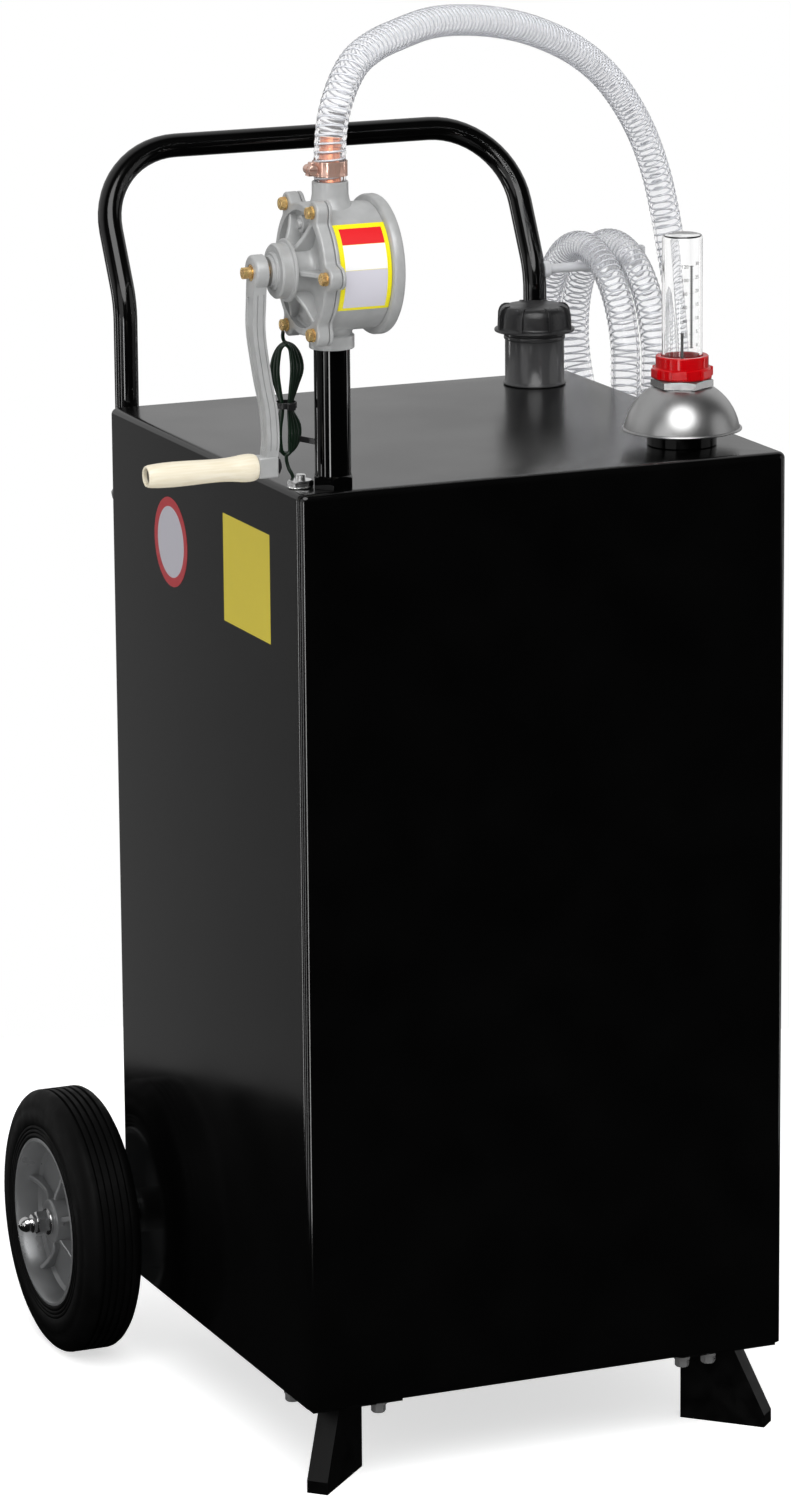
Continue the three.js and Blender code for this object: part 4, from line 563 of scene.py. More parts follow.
def wire_line():
    """The bonding wire's route: down from the cover bolt, three tied loops, then the nut on the tank."""
    middle = (HANK["top"] + HANK["bottom"]) / 2
    half = (HANK["top"] - HANK["bottom"]) / 2
    points = [spot(*COLUMN, PUMP_AXIS) + Vector(p) * MM for p in WIRE_START]
    for i in range(round((WIRE_LOOPS + 0.5) * WIRE_STEPS) + 1):
        turn = i / WIRE_STEPS
        step = turn - WIRE_LOOPS / 2
        z = middle + half * math.cos(FULL_TURN * turn)
        side = math.sin(FULL_TURN * turn)
        full = math.copysign(min(1, abs(side) * HANK_SHARES["turn"]), side)
        x = COLUMN[0] - HANK["beside"] + hank_half(z, turn) * full - HANK["step_x"] * step
        points.append(spot(x, COLUMN[1] + HANK["behind"] - HANK["step_y"] * step, TANK_HEIGHT + z))
    return centripetal(points + [spot(*GROUND_NUT, TANK_HEIGHT) + Vector(p) * MM for p in WIRE_END], 4)


def make_wire():
    """Green bonding wire, one length, hanked."""
    line = wire_line()
    wire = tube_along("bonding_wire", line, WIRE_RADIUS * MM, WIRE_SIDES, green_vinyl)
    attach(wire, "tank")
    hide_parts("ground_wire")


make_hose()
make_wire()


# Modelling by hand

WELD = 0.004 * MM
FINE_TURN, SMOOTH_TURN, SMALL_TURN = 96, 64, 40
HERE = (0, 0, 0)


def draw_line(points):
    """Draws a row of edges by pulling one vertex from point to point; edit mode stays on."""
    bpy.ops.object.select_all(action="DESELECT")
    bpy.ops.mesh.primitive_plane_add(size=MM, location=points[0])
    bpy.ops.object.mode_set(mode="EDIT")
    bpy.ops.mesh.select_mode(type="VERT")
    bpy.ops.mesh.select_all(action="SELECT")
    bpy.ops.mesh.merge(type="CENTER")
    for a, b in zip(points, points[1:]):
        bpy.ops.mesh.extrude_region_move(TRANSFORM_OT_translate={"value": tuple(b - a)})


def fill_outline(points):
    """Draws a closed outline and fills it with one face."""
    draw_line([*points, points[0]])
    bpy.ops.mesh.select_all(action="SELECT")
    bpy.ops.mesh.remove_doubles(threshold=WELD)
    bpy.ops.mesh.edge_face_add()


def end_drawing(angle=35):
    """Closes the seams, turns the faces out, puts the place into the mesh and smooths it."""
    bpy.ops.mesh.select_all(action="SELECT")
    bpy.ops.mesh.remove_doubles(threshold=WELD)
    bpy.ops.mesh.normals_make_consistent(inside=False)
    bpy.ops.object.mode_set(mode="OBJECT")
    bpy.ops.object.transform_apply(location=True, rotation=True, scale=True)
    bpy.ops.object.shade_smooth_by_angle(angle=math.radians(angle))
    return bpy.context.object


def turned(profile, at=HERE, axis=UP, sides=SMOOTH_TURN, first=None, angle=35):
    """A turned piece: the profile of (radius, height) pairs in mm, spun round the axis.
    A profile that starts off the axis is closed into a ring."""
    axis, at = Vector(axis), Vector(at)
    away = Vector(first) if first else axis.orthogonal().normalized()
    points = [at + (away * radius + axis * height) * MM for radius, height in profile]
    if profile[0][0] > 0:
        points.append(points[0])
    draw_line(points)
    bpy.ops.mesh.select_all(action="SELECT")
    bpy.ops.mesh.spin(steps=sides, angle=FULL_TURN, center=at, axis=axis)
    return end_drawing(angle)


def bar(radius, low, high, at=HERE, axis=UP, sides=SMALL_TURN, first=None):
    """A plain round bar, or the drill for a hole."""
    return turned([(0, low), (radius, low), (radius, high), (0, high)], at, axis, sides, first)


def slab(points, depth, angle=35):
    """A flat outline of points in metres, drawn out by a depth."""
    fill_outline(points)
    bpy.ops.mesh.extrude_region_move(TRANSFORM_OT_translate={"value": tuple(depth)})
    return end_drawing(angle)


def plate(at, corners, depth, angle=35):
    """A slab whose corners, from a place, and depth are in mm."""
    return slab([at + Vector(c) * MM for c in corners], Vector(depth) * MM, angle)


def plates_round(corners, depth, angles, axis, at=HERE):
    """The same plate, in mm, turned by each angle round an axis."""
    spins = [Matrix.Rotation(angle, 3, axis) for angle in angles]
    made = []
    for spin in spins:
        points = [Vector(at) + spin @ (Vector(c) * MM) for c in corners]
        made.append(slab(points, spin @ (Vector(depth) * MM)))
    return made


def pick(*pieces):
    """Selects these pieces alone and makes the first active."""
    bpy.ops.object.select_all(action="DESELECT")
    for piece in pieces:
        piece.select_set(True)
    bpy.context.view_layer.objects.active = pieces[0]


def modified(piece, kind, **settings):
    """The piece with one modifier applied."""
    pick(piece)
    change = piece.modifiers.new(kind.lower(), kind)
    for key, value in settings.items():
        setattr(change, key, value)
    bpy.ops.object.modifier_apply(modifier=change.name)
    return piece


def smoothed(piece, angle=35):
    """Smooth shading but over edges sharper than the angle."""
    pick(piece)
    bpy.ops.object.shade_smooth_by_angle(angle=math.radians(angle))
    return piece


def eased(piece, width, segments=2, sharper=30, angle=35):
    """The piece with its sharp edges rounded by a width in mm."""
    modified(piece, "BEVEL", width=width * MM, segments=segments, limit_method="ANGLE",
             angle_limit=math.radians(sharper), use_clamp_overlap=True)
    return smoothed(piece, angle)


def combined(piece, operation, *tools):
    """The piece joined with, cut by or kept within each tool, which is used up."""
    for tool in tools:
        modified(piece, "BOOLEAN", operation=operation, solver="EXACT", object=tool)
        bpy.data.objects.remove(tool)
    return smoothed(piece)


def fused(piece, *tools):
    """The piece and the tools as one closed solid."""
    return combined(piece, "UNION", *tools)


def drilled(piece, *tools):
    """The piece with each tool cut out of it."""
    return combined(piece, "DIFFERENCE", *tools)


def united(pieces):
    """The pieces as one object."""
    pick(*pieces)
    bpy.ops.object.join()
    return pieces[0]


def copied(piece, matrix):
    """A second piece like it, with its own mesh, moved."""
    twin = piece.copy()
    twin.data = piece.data.copy()
    bpy.context.scene.collection.objects.link(twin)
    twin.data.transform(matrix)
    return twin


def placed(piece, name, material, slot, *nodes, body="tank"):
    """Gives a finished piece its name, finish and body, and hides the solids that it stands for."""
    piece.name = piece.data.name = name
    piece.data.materials.clear()
    piece.data.materials.append(material)
    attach(piece, body)
    if nodes:
        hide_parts(*nodes)


def hex_prism(across, low, high, at=HERE, axis=UP, first=None, chamfer=0.12):
    """A hexagon head or nut with its corners turned off at the free end."""
    corner = across / math.sqrt(3)
    cut_back = across * chamfer
    rounding = turned([
        (0, low - 1), (corner + 1, low - 1), (corner + 1, high - cut_back), (corner, high - cut_back),
        (across / 2 - 0.3, high), (0, high),
    ], at, axis)
    return combined(bar(corner, low, high, at, axis, 6, first), "INTERSECT", rounding)


def select_edges(piece, wanted):
    """Selects in edit mode the edges whose middle and direction are wanted."""
    bpy.ops.mesh.select_mode(type="EDGE")
    mesh = bmesh.from_edit_mesh(piece.data)
    for edge in mesh.edges:
        a, b = (v.co for v in edge.verts)
        edge.select_set(wanted((a + b) / 2, (b - a).normalized()))
    mesh.select_flush_mode()
    bmesh.update_edit_mesh(piece.data)


def select_faces(piece, wanted):
    """Selects in edit mode the faces that are wanted."""
    bpy.ops.mesh.select_mode(type="FACE")
    mesh = bmesh.from_edit_mesh(piece.data)
    for face in mesh.faces:
        face.select_set(wanted(face))
    bmesh.update_edit_mesh(piece.data)


# Tank, feet and handle

TANK_SIDE, TANK_WALL, TANK_CORNER, TANK_FOLD = 400, 1.5, 7, 5
FILLER, FILLER_HOLE = (148, 152), 22.1
GAUGE, GAUGE_HOLE = (142, -135), 17.8
FOOT_BOLTS = [(-140, -190.5), (-190.5, -140), (117.5, -190.5), (140, -190.5), (190.5, -140)]
AXLE_Y, AXLE_Z, AXLE_RADIUS, AXLE_REACH = 217.7, 37.8, 6, 272
COLLAR_RADIUS, COLLAR_FROM, COLLAR_TO = 9, 187.8, 213.7
TUBE_RADIUS, HALF_SPAN = 9.5, 178
HANDLE_LEAN, HANDLE_FOOT, HANDLE_KNEE, HANDLE_TOP = math.radians(28.1), 14, 789, 903
KNEE_BEND, KNEE_STEPS, CORNER_BEND, CORNER_STEPS = 60, 8, 68, 14


def make_tank():
    """The pressed tank: one folded sheet with rounded corners and top edge, open below its chime."""
    middle = spot(0, 0, TANK_HEIGHT / 2)
    bpy.ops.object.select_all(action="DESELECT")
    bpy.ops.mesh.primitive_cube_add(size=1, location=middle)
    tank = bpy.context.object
    bpy.ops.object.mode_set(mode="EDIT")
    bpy.ops.mesh.select_all(action="SELECT")
    bpy.ops.transform.resize(value=(TANK_SIDE * MM, TANK_SIDE * MM, TANK_HEIGHT * MM), center_override=middle)
    select_edges(tank, lambda middle, way: abs(way.z) > 0.9)
    bpy.ops.mesh.bevel(offset=TANK_CORNER * MM, segments=8)
    select_edges(tank, lambda middle, way: abs(way.z) < 0.1 and middle.z > 0.49 * TANK_HEIGHT * MM)
    bpy.ops.mesh.bevel(offset=TANK_FOLD * MM, segments=6)
    select_faces(tank, lambda face: face.normal.z < -0.9)
    bpy.ops.mesh.delete(type="FACE")
    end_drawing(30)
    modified(tank, "SOLIDIFY", thickness=TANK_WALL * MM, offset=-1)
    for place, radius in ((COLUMN, COLUMN_RADIUS + GAP), (FILLER, FILLER_HOLE), (GAUGE, GAUGE_HOLE)):
        drilled(tank, bar(radius, TANK_HEIGHT - 8, TANK_HEIGHT + 8, spot(*place, 0), sides=SMOOTH_TURN))
    smoothed(tank, 30)
    placed(tank, "tank_body", gloss_black, "black_paint", "tank_shell")


def make_foot_bolts():
    """The hexagon heads that hold each foot plate under the tank's corner."""
    head = fused(hex_prism(10, 0, 7.5, axis=-UP), bar(6.6, -1, 0.9, axis=-UP))
    for i, (x, y) in enumerate(FOOT_BOLTS):
        bolt = copied(head, Matrix.Translation(spot(x, y, -3.6)))
        placed(bolt, f"foot_bolt_{i + 1}", nut_steel, "bright_steel")
    bpy.data.objects.remove(head)


def handle_line():
    """The middle line of the handle's one bent tube, from foot to foot."""
    rise = Vector((0, math.sin(HANDLE_LEAN), math.cos(HANDLE_LEAN)))
    knee = Vector((-HALF_SPAN, AXLE_Y, HANDLE_KNEE))
    drop = KNEE_BEND * math.tan(HANDLE_LEAN / 2)
    line = [Vector((knee.x, knee.y, HANDLE_FOOT))]
    for i in range(KNEE_STEPS + 1):
        angle = HANDLE_LEAN * i / KNEE_STEPS
        line.append(knee + Vector((0, KNEE_BEND * (1 - math.cos(angle)), KNEE_BEND * math.sin(angle) - drop)))
    length = (HANDLE_TOP - knee.z) / math.cos(HANDLE_LEAN) - CORNER_BEND
    centre = knee + rise * length + OUT_RIGHT * CORNER_BEND
    for i in range(CORNER_STEPS + 1):
        angle = math.pi / 2 * i / CORNER_STEPS
        line.append(centre + (OUT_LEFT * math.cos(angle) + rise * math.sin(angle)) * CORNER_BEND)
    line += [Vector((-p.x, p.y, p.z)) for p in reversed(line)]
    return [spot(*p) for p in line]


def make_handle():
    """The bent tube, its flat brace, the bolts of its legs and the axle rod."""
    tube = smoothed(tube_along("handle", handle_line(), TUBE_RADIUS * MM, 28, gloss_black), 40)
    placed(tube, "handle_tube", gloss_black, "black_paint", "handle_frame")
    low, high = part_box("handle_crossbar")
    corners = ((low.x, low.z), (high.x, low.z), (high.x, high.z), (low.x, high.z))
    brace = slab([Vector((x, low.y, z)) for x, z in corners], (0, high.y - low.y, 0))
    placed(eased(brace, 1.2), "handle_brace", gloss_black, "black_paint", "handle_crossbar")
    for side, name in SIDES:
        at = spot(side * HALF_SPAN, AXLE_Y + TUBE_RADIUS, 633)
        head = fused(hex_prism(17, 0.6, 6.7, at, BACKWARD), bar(10, 0, 1, at, BACKWARD, SMOOTH_TURN),
                     bar(4, -17, 0.5, at, BACKWARD, 24))
        placed(head, f"leg_bolt_head_{name}", nut_steel, "bright_steel", f"leg_bolt_{name}")
    half = [
        (AXLE_RADIUS, COLLAR_FROM), (COLLAR_RADIUS, COLLAR_FROM), (COLLAR_RADIUS, COLLAR_TO),
        (AXLE_RADIUS, COLLAR_TO), (AXLE_RADIUS, AXLE_REACH - 0.8), (AXLE_RADIUS - 0.8, AXLE_REACH),
        (0, AXLE_REACH),
    ]
    rod = turned([(r, -x) for r, x in reversed(half)] + half, spot(0, AXLE_Y, AXLE_Z), OUT_RIGHT, SMALL_TURN)
    placed(rod, "axle_rod", dull_steel, "steel", "axle")


# Wheels

WHEEL_HALF, WHEEL_RADIUS, OUTER_FACE, HUB_END = 25, 107.8, 264, 19.5
WALL_RINGS = (73, 76.2, 79.4)
TREAD_GROOVES, TREAD_FLOOR = (-11.6, -5.8, 0, 5.8, 11.6), 105.7


def tyre_profile():
    """The solid tyre's section: rimmed bore, ringed walls, round shoulders and a grooved tread."""
    wall = [(66.5, 21.7), (69.3, 21.7), (69.3, 24.3), (70.2, WHEEL_HALF)]
    for ring in WALL_RINGS:
        wall += [(ring - 0.8, WHEEL_HALF), (ring, 24.2), (ring + 0.8, WHEEL_HALF)]
    wall += [(90.5, WHEEL_HALF), (91.4, 24.3), (95.6, 24.1), (99.6, 23.1), (103.2, 21.2), (105.9, 18.8),
             (107.4, 16.4), (WHEEL_RADIUS, 14.4)]
    grooves = []
    for groove in TREAD_GROOVES:
        grooves += [(WHEEL_RADIUS, groove - 1.3), (TREAD_FLOOR, groove - 0.8), (TREAD_FLOOR, groove + 0.8),
                    (WHEEL_RADIUS, groove + 1.3)]
    return [(r, -h) for r, h in wall] + grooves + wall[::-1]


def rim_piece():
    """The moulded wheel centre: deep barrel, web, hub and five ribs."""
    centre = turned([
        (8.9, -25), (18, -25), (18, 0), (63.2, 0), (63.2, -24), (64, -25), (68.2, -25), (69, -24.2),
        (69, -22),
        (66.2, -22), (66.2, 22), (69, 22), (69, 24.2), (68.2, 25), (66.4, 25), (65.6, 24.2), (64.6, 19.8),
        (63.6, 17), (62.2, 7), (59.6, 4.4), (56.5, 4), (22, 4), (19.5, 5), (18, 8), (18, 18.3), (17.2, 19.3),
        (16.2, HUB_END), (8.9, HUB_END),
    ], axis=OUT_RIGHT, sides=80)
    outline = [(14.6, 1), (64, 1), (64, 15.6), (61, 13.2), (55, 10.4), (48, 8.8), (41, 8.2), (34, 9.2),
               (27, 11.6), (21, 14.4), (14.6, 16)]
    ribs = plates_round([(h, -2.25, r) for r, h in outline], (0, 4.5, 0), turns(5), "X")
    return fused(centre, *[eased(rib, 0.9) for rib in ribs])


def nut_piece():
    """Washer, hexagon nut and domed cap on the axle's end, all bright."""
    low = HUB_END + GAP
    ring = [(6.4, low), (10.8, low), (11, low + 0.3), (11, low + 1.7), (10.8, low + 2), (6.4, low + 2)]
    washer = turned(ring, axis=OUT_RIGHT)
    nut = hex_prism(17, low + 2, low + 12, axis=OUT_RIGHT, first=UP, chamfer=0.08)
    dome = [(7.6, low + 11), (7.6, low + 15), (7, low + 15.6), (6.6, low + 16.2)]
    dome += [(6.6 * math.cos(a), low + 18.4 + 8 * math.sin(a)) for a in (0, 0.3, 0.6, 0.9, 1.2, 1.4)]
    return fused(washer, nut, turned([(0, low + 11), *dome, (0, low + 26.4)], axis=OUT_RIGHT))


def make_wheels():
    """Tyre, centre and bush on each side's wheel, and the axle nut, each modelled once."""
    tyre = turned(tyre_profile(), axis=OUT_RIGHT, sides=FINE_TURN, angle=50)
    sleeve = [(6.3, -WHEEL_HALF), (8.6, -WHEEL_HALF), (8.6, HUB_END), (6.3, HUB_END)]
    bush = turned(sleeve, axis=OUT_RIGHT, sides=SMALL_TURN)
    parts = [
        (tyre, "wheel_tyre", tyre_rubber, "tyre", "tyre"),
        (rim_piece(), "wheel_centre", rim_enamel, "grey_enamel", "wheel_rim"),
        (bush, "wheel_bush_sleeve", black_moulding, "black_plastic", "wheel_bush"),
        (nut_piece(), "axle_cap_nut", plated_steel, "bright_steel", "axle_nut"),
    ]
    for side, name in SIDES:
        turn = Matrix.Rotation(0 if side > 0 else math.pi, 4, "Z")
        place = Matrix.Translation(spot(side * (OUTER_FACE - WHEEL_HALF), AXLE_Y, AXLE_Z)) @ turn
        for piece, kind, material, slot, node in parts:
            body = "tank" if node == "axle_nut" else f"wheel_{name}"
            placed(copied(piece, place), f"{kind}_{name}", material, slot, f"{node}_{name}", body=body)
    for piece, *_ in parts:
        bpy.data.objects.remove(piece)


# Pump and crank

PUMP = spot(*COLUMN, PUMP_AXIS)
CRANKWARD = OUT_LEFT
FLANGE_RADIUS, BOLT_CIRCLE, LOBE_RADIUS, LOBE_BLEND = 49, 52, 8.5, 5
OUTLINE_STEPS = 180
COVER_BASE, COVER_FACE, BOLT_SEAT = 15.3, 24.7, 25
CRANK_LENGTH, CRANK_MIDDLE = 144.5, 58.4
# Shares of the way down the crank arm, and how far out it bows there, in cm.
CRANK_BOW = [(0, 0), (0.15, 0.11), (0.31, 0.15), (0.54, -0.3), (0.71, -0.75), (0.88, -0.87), (1, -0.6)]
CRANK_HALF, CRANK_TOP_HALF, CRANK_LOW_HALF = 4.8, 8.5, 6.2
HOLLOW_FROM, HOLLOW_TO = 15, 134
GROOVES = ((-3.2, -2.5), (1.5, 2.3))
SPINDLE_RADIUS, PIN_RADIUS = 6.3, 4.3
THREAD_PITCH = 0.75
GRIP_START, GRIP_LENGTH = 61.8, 86
# The grip's radius at shares of its length.
GRIP_SHAPE = [
    (0, 9.2), (0.012, 9.7), (0.03, 10.1), (0.06, 10.35), (0.09, 10.4), (0.14, 10), (0.2, 9.3), (0.26, 8.85),
    (0.33, 8.6), (0.42, 8.65), (0.52, 8.9), (0.63, 9.2), (0.75, 9.35), (0.84, 9.2), (0.91, 8.9), (0.95, 8.6),
    (0.975, 8.3), (0.992, 7.9), (1, 7.5),
]


def bolt_places():
    """The six places round the pump's axis, as sideways and upward mm."""
    return [(BOLT_CIRCLE * math.sin(a), BOLT_CIRCLE * math.cos(a)) for a in turns(6, 0.5)]


def outside_flange(radius, angle):
    """How far a place is outside the flange: a circle that swells round each bolt, blended softly."""
    y, z = radius * math.sin(angle), radius * math.cos(angle)
    disc = radius - FLANGE_RADIUS
    lobe = min(math.hypot(y - bolt_y, z - bolt_z) for bolt_y, bolt_z in bolt_places()) - LOBE_RADIUS
    nearness = max(LOBE_BLEND - abs(disc - lobe), 0) / LOBE_BLEND
    return min(disc, lobe) - nearness * nearness * LOBE_BLEND / 4


def lobed_outline():
    """The flange's outline, found by halving between two radii at each angle."""
    points = []
    for angle in turns(OUTLINE_STEPS):
        low, high = 40.0, 70.0
        for _ in range(30):
            middle = (low + high) / 2
            if outside_flange(middle, angle) > 0:
                high = middle
            else:
                low = middle
        points.append((low * math.sin(angle), low * math.cos(angle)))
    return points


def lobed_plate(low, high, ease):
    """The lobed flange between two places along the pump's axis."""
    flat = plate(PUMP, [(-low, y, z) for y, z in lobed_outline()], (low - high, 0, 0), 40)
    return eased(flat, ease, 3, 60, 40)


def pump_turned(profile, sides=SMOOTH_TURN):
    """A piece turned round the pump's axis, with heights towards the crank."""
    return turned(profile, PUMP, CRANKWARD, sides)


def pump_bar(radius, low, high, sides=SMALL_TURN):
    """A round bar or drill on the pump's axis."""
    return bar(radius, low, high, PUMP, CRANKWARD, sides)


def make_pump_body():
    """The pump's barrel with its lobed flange, outlet neck above and inlet neck below."""
    barrel = pump_turned([(0, -29), (46.6, -29), (47, -28.6), (47, 11.6), (47.8, 12.6), (0, 12.6)], FINE_TURN)
    outlet = turned([
        (0, 0), (18.5, 40), (15.6, 46.6), (14.2, 50), (13.5, 54), (13.4, 63), (12.9, 63.5), (0, 63.5),
    ], PUMP)
    inlet = turned([
        (0, -60), (16.2, -60), (16.8, -59.4), (16.8, -50.5), (16.1, -49.7), (15.2, -49.3), (15.2, -47.5),
        (19, -41), (0, 0),
    ], PUMP)
    body = fused(barrel, lobed_plate(12.4, 15, 0.8), outlet, inlet)
    drilled(body, pump_bar(38, -32, 18, FINE_TURN), bar(9, -63, 66, PUMP), bar(10.3, 51.2, 66, PUMP),
            bar(13.75, -63, -41.7, PUMP, sides=SMOOTH_TURN))
    placed(body, "pump_housing", cast_grey, "cast_aluminium", "pump_body")


def make_pump_cover():
    """The lobed cover with its stepped boss, six ribs and the bleed boss at the top."""
    recess = pump_turned([(0, 19), (41.4, 19), (43, 20.6), (43.6, 27), (0, 27)], FINE_TURN)
    rim = drilled(lobed_plate(COVER_BASE, COVER_FACE, 1.4), recess)
    boss = pump_turned([
        (0, 16), (24, 16), (24, 19), (21, 19.6), (19.2, 21.4), (18.4, 24), (18.3, 34), (18.6, 34.5),
        (22.8, 34.5),
        (23.4, 35.1), (23.4, 36.2), (22.6, 37), (20.8, 37.3), (20.4, 37.8), (20.4, 44.4), (19.2, 45.7),
        (14.2, 45.7), (13.9, 46), (13.9, 47.4), (13.3, 48), (11.8, 48), (11.5, 48.3), (11.5, 49.8),
        (11, 50.3),
        (0, 50.3),
    ], 80)
    outline = [(15, 17), (44.6, 17), (44.6, 23.4), (40, 24.8), (34, 26.6), (28, 29), (23.4, 31.6), (20, 34),
               (15, 34.2)]
    spins = [-angle for angle in turns(6, 0.5)]
    ribs = plates_round([(-h, -2, r) for r, h in outline], (0, 4, 0), spins, "X", PUMP)
    bleed = turned([
        (0, 17), (7.6, 17), (7.6, 19.2), (6.8, 20), (6.5, 21), (6.3, 23.6), (5.8, 24), (3.6, 24), (3.4, 25.6),
        (3, 26.4), (0, 26.4),
    ], PUMP + UP * 33 * MM, CRANKWARD, SMALL_TURN)
    cover = fused(rim, boss, *[eased(rib, 1.1, 3) for rib in ribs], bleed)
    drilled(cover, pump_bar(SPINDLE_RADIUS, 12, 53))
    placed(cover, "pump_front_cover", cast_grey, "cast_aluminium", "pump_cover")


def make_pump_back():
    """The rear plate: a raised rim, a dished face and a boss for the shaft's end."""
    back = pump_turned([
        (0, -35.3), (6.3, -35.3), (6.3, -29.3), (50.4, -29.3), (51.3, -29.9), (51.8, -31), (51.8, -35.8),
        (51.5, -36.8), (50.9, -37.7), (50, -38.3), (48.8, -38.6), (41.6, -38.6), (40.6, -38), (38.6, -35.6),
        (37.6, -35.1), (14, -35.1), (12.4, -37), (11.6, -38.3), (10.6, -38.6), (0, -38.6),
    ], FINE_TURN)
    placed(back, "pump_rear_cover", cast_grey, "cast_aluminium", "pump_back_plate")


def make_cover_bolts():
    """Six hexagon bolts with washers, each turned a little further than the last."""
    head = fused(
        hex_prism(8.5, BOLT_SEAT + 0.9, BOLT_SEAT + 4.8, axis=CRANKWARD, first=UP),
        bar(5, BOLT_SEAT, BOLT_SEAT + 0.9, axis=CRANKWARD),
        bar(2.2, 13, BOLT_SEAT + 0.5, axis=CRANKWARD, sides=16),
    )
    for i, (y, z) in enumerate(bolt_places()):
        place = Matrix.Translation(PUMP + Vector((0, y, z)) * MM) @ Matrix.Rotation(0.7 * i, 4, "X")
        placed(copied(head, place), f"cover_screw_{i + 1}", yellow_zinc, "yellow_zinc", f"cover_bolt_{i + 1}")
    bpy.data.objects.remove(head)


def crank_line():
    """The crank's bowed middle line, as (towards the crank side, down) in mm."""
    points = [Vector((CRANK_MIDDLE + side * 10, down * CRANK_LENGTH, 0)) for down, side in CRANK_BOW]
    ends = [points[0], *points, points[-1]]
    line = []
    for a, b, c, d in zip(ends, ends[1:], ends[2:], ends[3:]):
        for i in range(8):
            t = i / 8
            square = (2 * a - 5 * b + 4 * c - d) * t ** 2
            line.append(0.5 * (2 * b + (c - a) * t + square + (3 * b - a - 3 * c + d) * t ** 3))
    return line + [points[-1]]


def crank_groove(line, slope, low, high):
    """A shallow groove along the arm's front edge, between two places across it."""
    rings = []
    for place in line:
        if 13 < place.y < HOLLOW_TO:
            face = slope * place.y - CRANK_TOP_HALF
            corners = ((low, face - 1), (high, face - 1), (high, face + 0.8), (low, face + 0.8))
            rings.append([PUMP + Vector((-place.x - u, y, -place.y)) * MM for u, y in corners])
    return skinned("groove", rings, cast_grey)


def make_crank():
    """The cast crank: a bowed and tapering arm with a hollowed face, its hub and its end block."""
    line = crank_line()
    edge = [(p.x + CRANK_HALF, p.y) for p in line] + [(p.x - CRANK_HALF, p.y) for p in reversed(line)]
    arm = plate(PUMP, [(-u, -CRANK_TOP_HALF, -down) for u, down in edge], (0, 2 * CRANK_TOP_HALF, 0), 40)
    bpy.ops.object.mode_set(mode="EDIT")
    slope = (CRANK_TOP_HALF - CRANK_LOW_HALF) / CRANK_LENGTH
    for side, _ in SIDES:
        bpy.ops.mesh.select_all(action="SELECT")
        bpy.ops.mesh.bisect(plane_co=PUMP + BACKWARD * side * CRANK_TOP_HALF * MM,
                            plane_no=Vector((0, side, -slope)), use_fill=True, clear_outer=True)
    select_faces(arm, lambda face: face.normal.x < -0.6
                 and HOLLOW_FROM < (PUMP.z - face.calc_center_median().z) / MM < HOLLOW_TO)
    bpy.ops.mesh.inset(thickness=2.6 * MM, depth=0)
    bpy.ops.mesh.inset(thickness=0.5 * MM, depth=-1.3 * MM)
    end_drawing(40)
    eased(arm, 0.8, 2, 50)
    for low, high in GROOVES:
        drilled(arm, crank_groove(line, slope, low, high))
    hub = pump_turned([
        (0, 53.3), (12.2, 53.3), (13, 54.1), (13, 61.4), (12.6, 62.5), (11.7, 63.2), (10.6, 63.5), (0, 63.5),
    ])
    block = [(-u, -7, -CRANK_LENGTH - down) for u, down in ((45.6, -8), (61.5, -8), (61.5, 8), (45.6, 8))]
    crank = fused(arm, hub, eased(plate(PUMP, block, (0, 14, 0), 40), 1.6, 3, 50))
    drilled(crank, pump_bar(SPINDLE_RADIUS, 40, 70),
            bar(PIN_RADIUS, 40, 70, PUMP - UP * CRANK_LENGTH * MM, CRANKWARD))
    placed(crank, "crank_lever", cast_grey, "cast_aluminium", "crank_arm", body="crank")


def thread_turns(low, drop, count):
    """The crests and roots of an 8 mm thread, as a profile."""
    points = []
    for i in range(count):
        points += [(4, low + THREAD_PITCH * i), (3.6, low + drop + THREAD_PITCH * i)]
    return points


def make_crank_fittings():
    """The crank's nut and threaded spindle, the turned grip and the rivet through it."""
    nut = hex_prism(17, 63.8, 67.2, PUMP, CRANKWARD, chamfer=0.06)
    drilled(nut, pump_bar(4.3, 60, 70))
    placed(nut, "crank_hex_nut", turned_brass, "brass", "crank_nut", body="crank")
    thread = [(4, 63.2), *thread_turns(63.6, 0.3, 6)]
    shaft = [(0, -35), (6, -35), (6, 63.2), *thread, (3.9, 68.2), (3.4, 68.6), (0, 68.6)]
    spindle = pump_turned(shaft, SMALL_TURN)
    placed(spindle, "crank_spindle", turned_brass, "steel", "pump_shaft", body="crank")
    grip_at = PUMP - UP * CRANK_LENGTH * MM
    end = GRIP_START + GRIP_LENGTH
    profile = [(r, GRIP_START + share * GRIP_LENGTH) for share, r in GRIP_SHAPE]
    recess = [(6.6, end), (6.2, end - 0.4), (6.2, end - 10), (PIN_RADIUS, end - 10)]
    grip = turned([(PIN_RADIUS, GRIP_START), *profile, *recess], grip_at, CRANKWARD, 72)
    placed(grip, "crank_wood_grip", varnished_beech, "beech", "crank_grip", body="grip")
    head = end - 5.6
    rivet = turned([
        (0, 43.1), (5.8, 43.1), (6.5, 43.9), (6.5, 45.3), (4, 45.3), (4, head), (5.8, head), (5.8, head + 2),
        (5.2, head + 2.8), (2.4, head + 3), (0, head + 3),
    ], grip_at, CRANKWARD, SMALL_TURN)
    placed(rivet, "grip_rivet", needle_steel, "steel", "grip_pin", body="crank")


# Column, filler and gauge

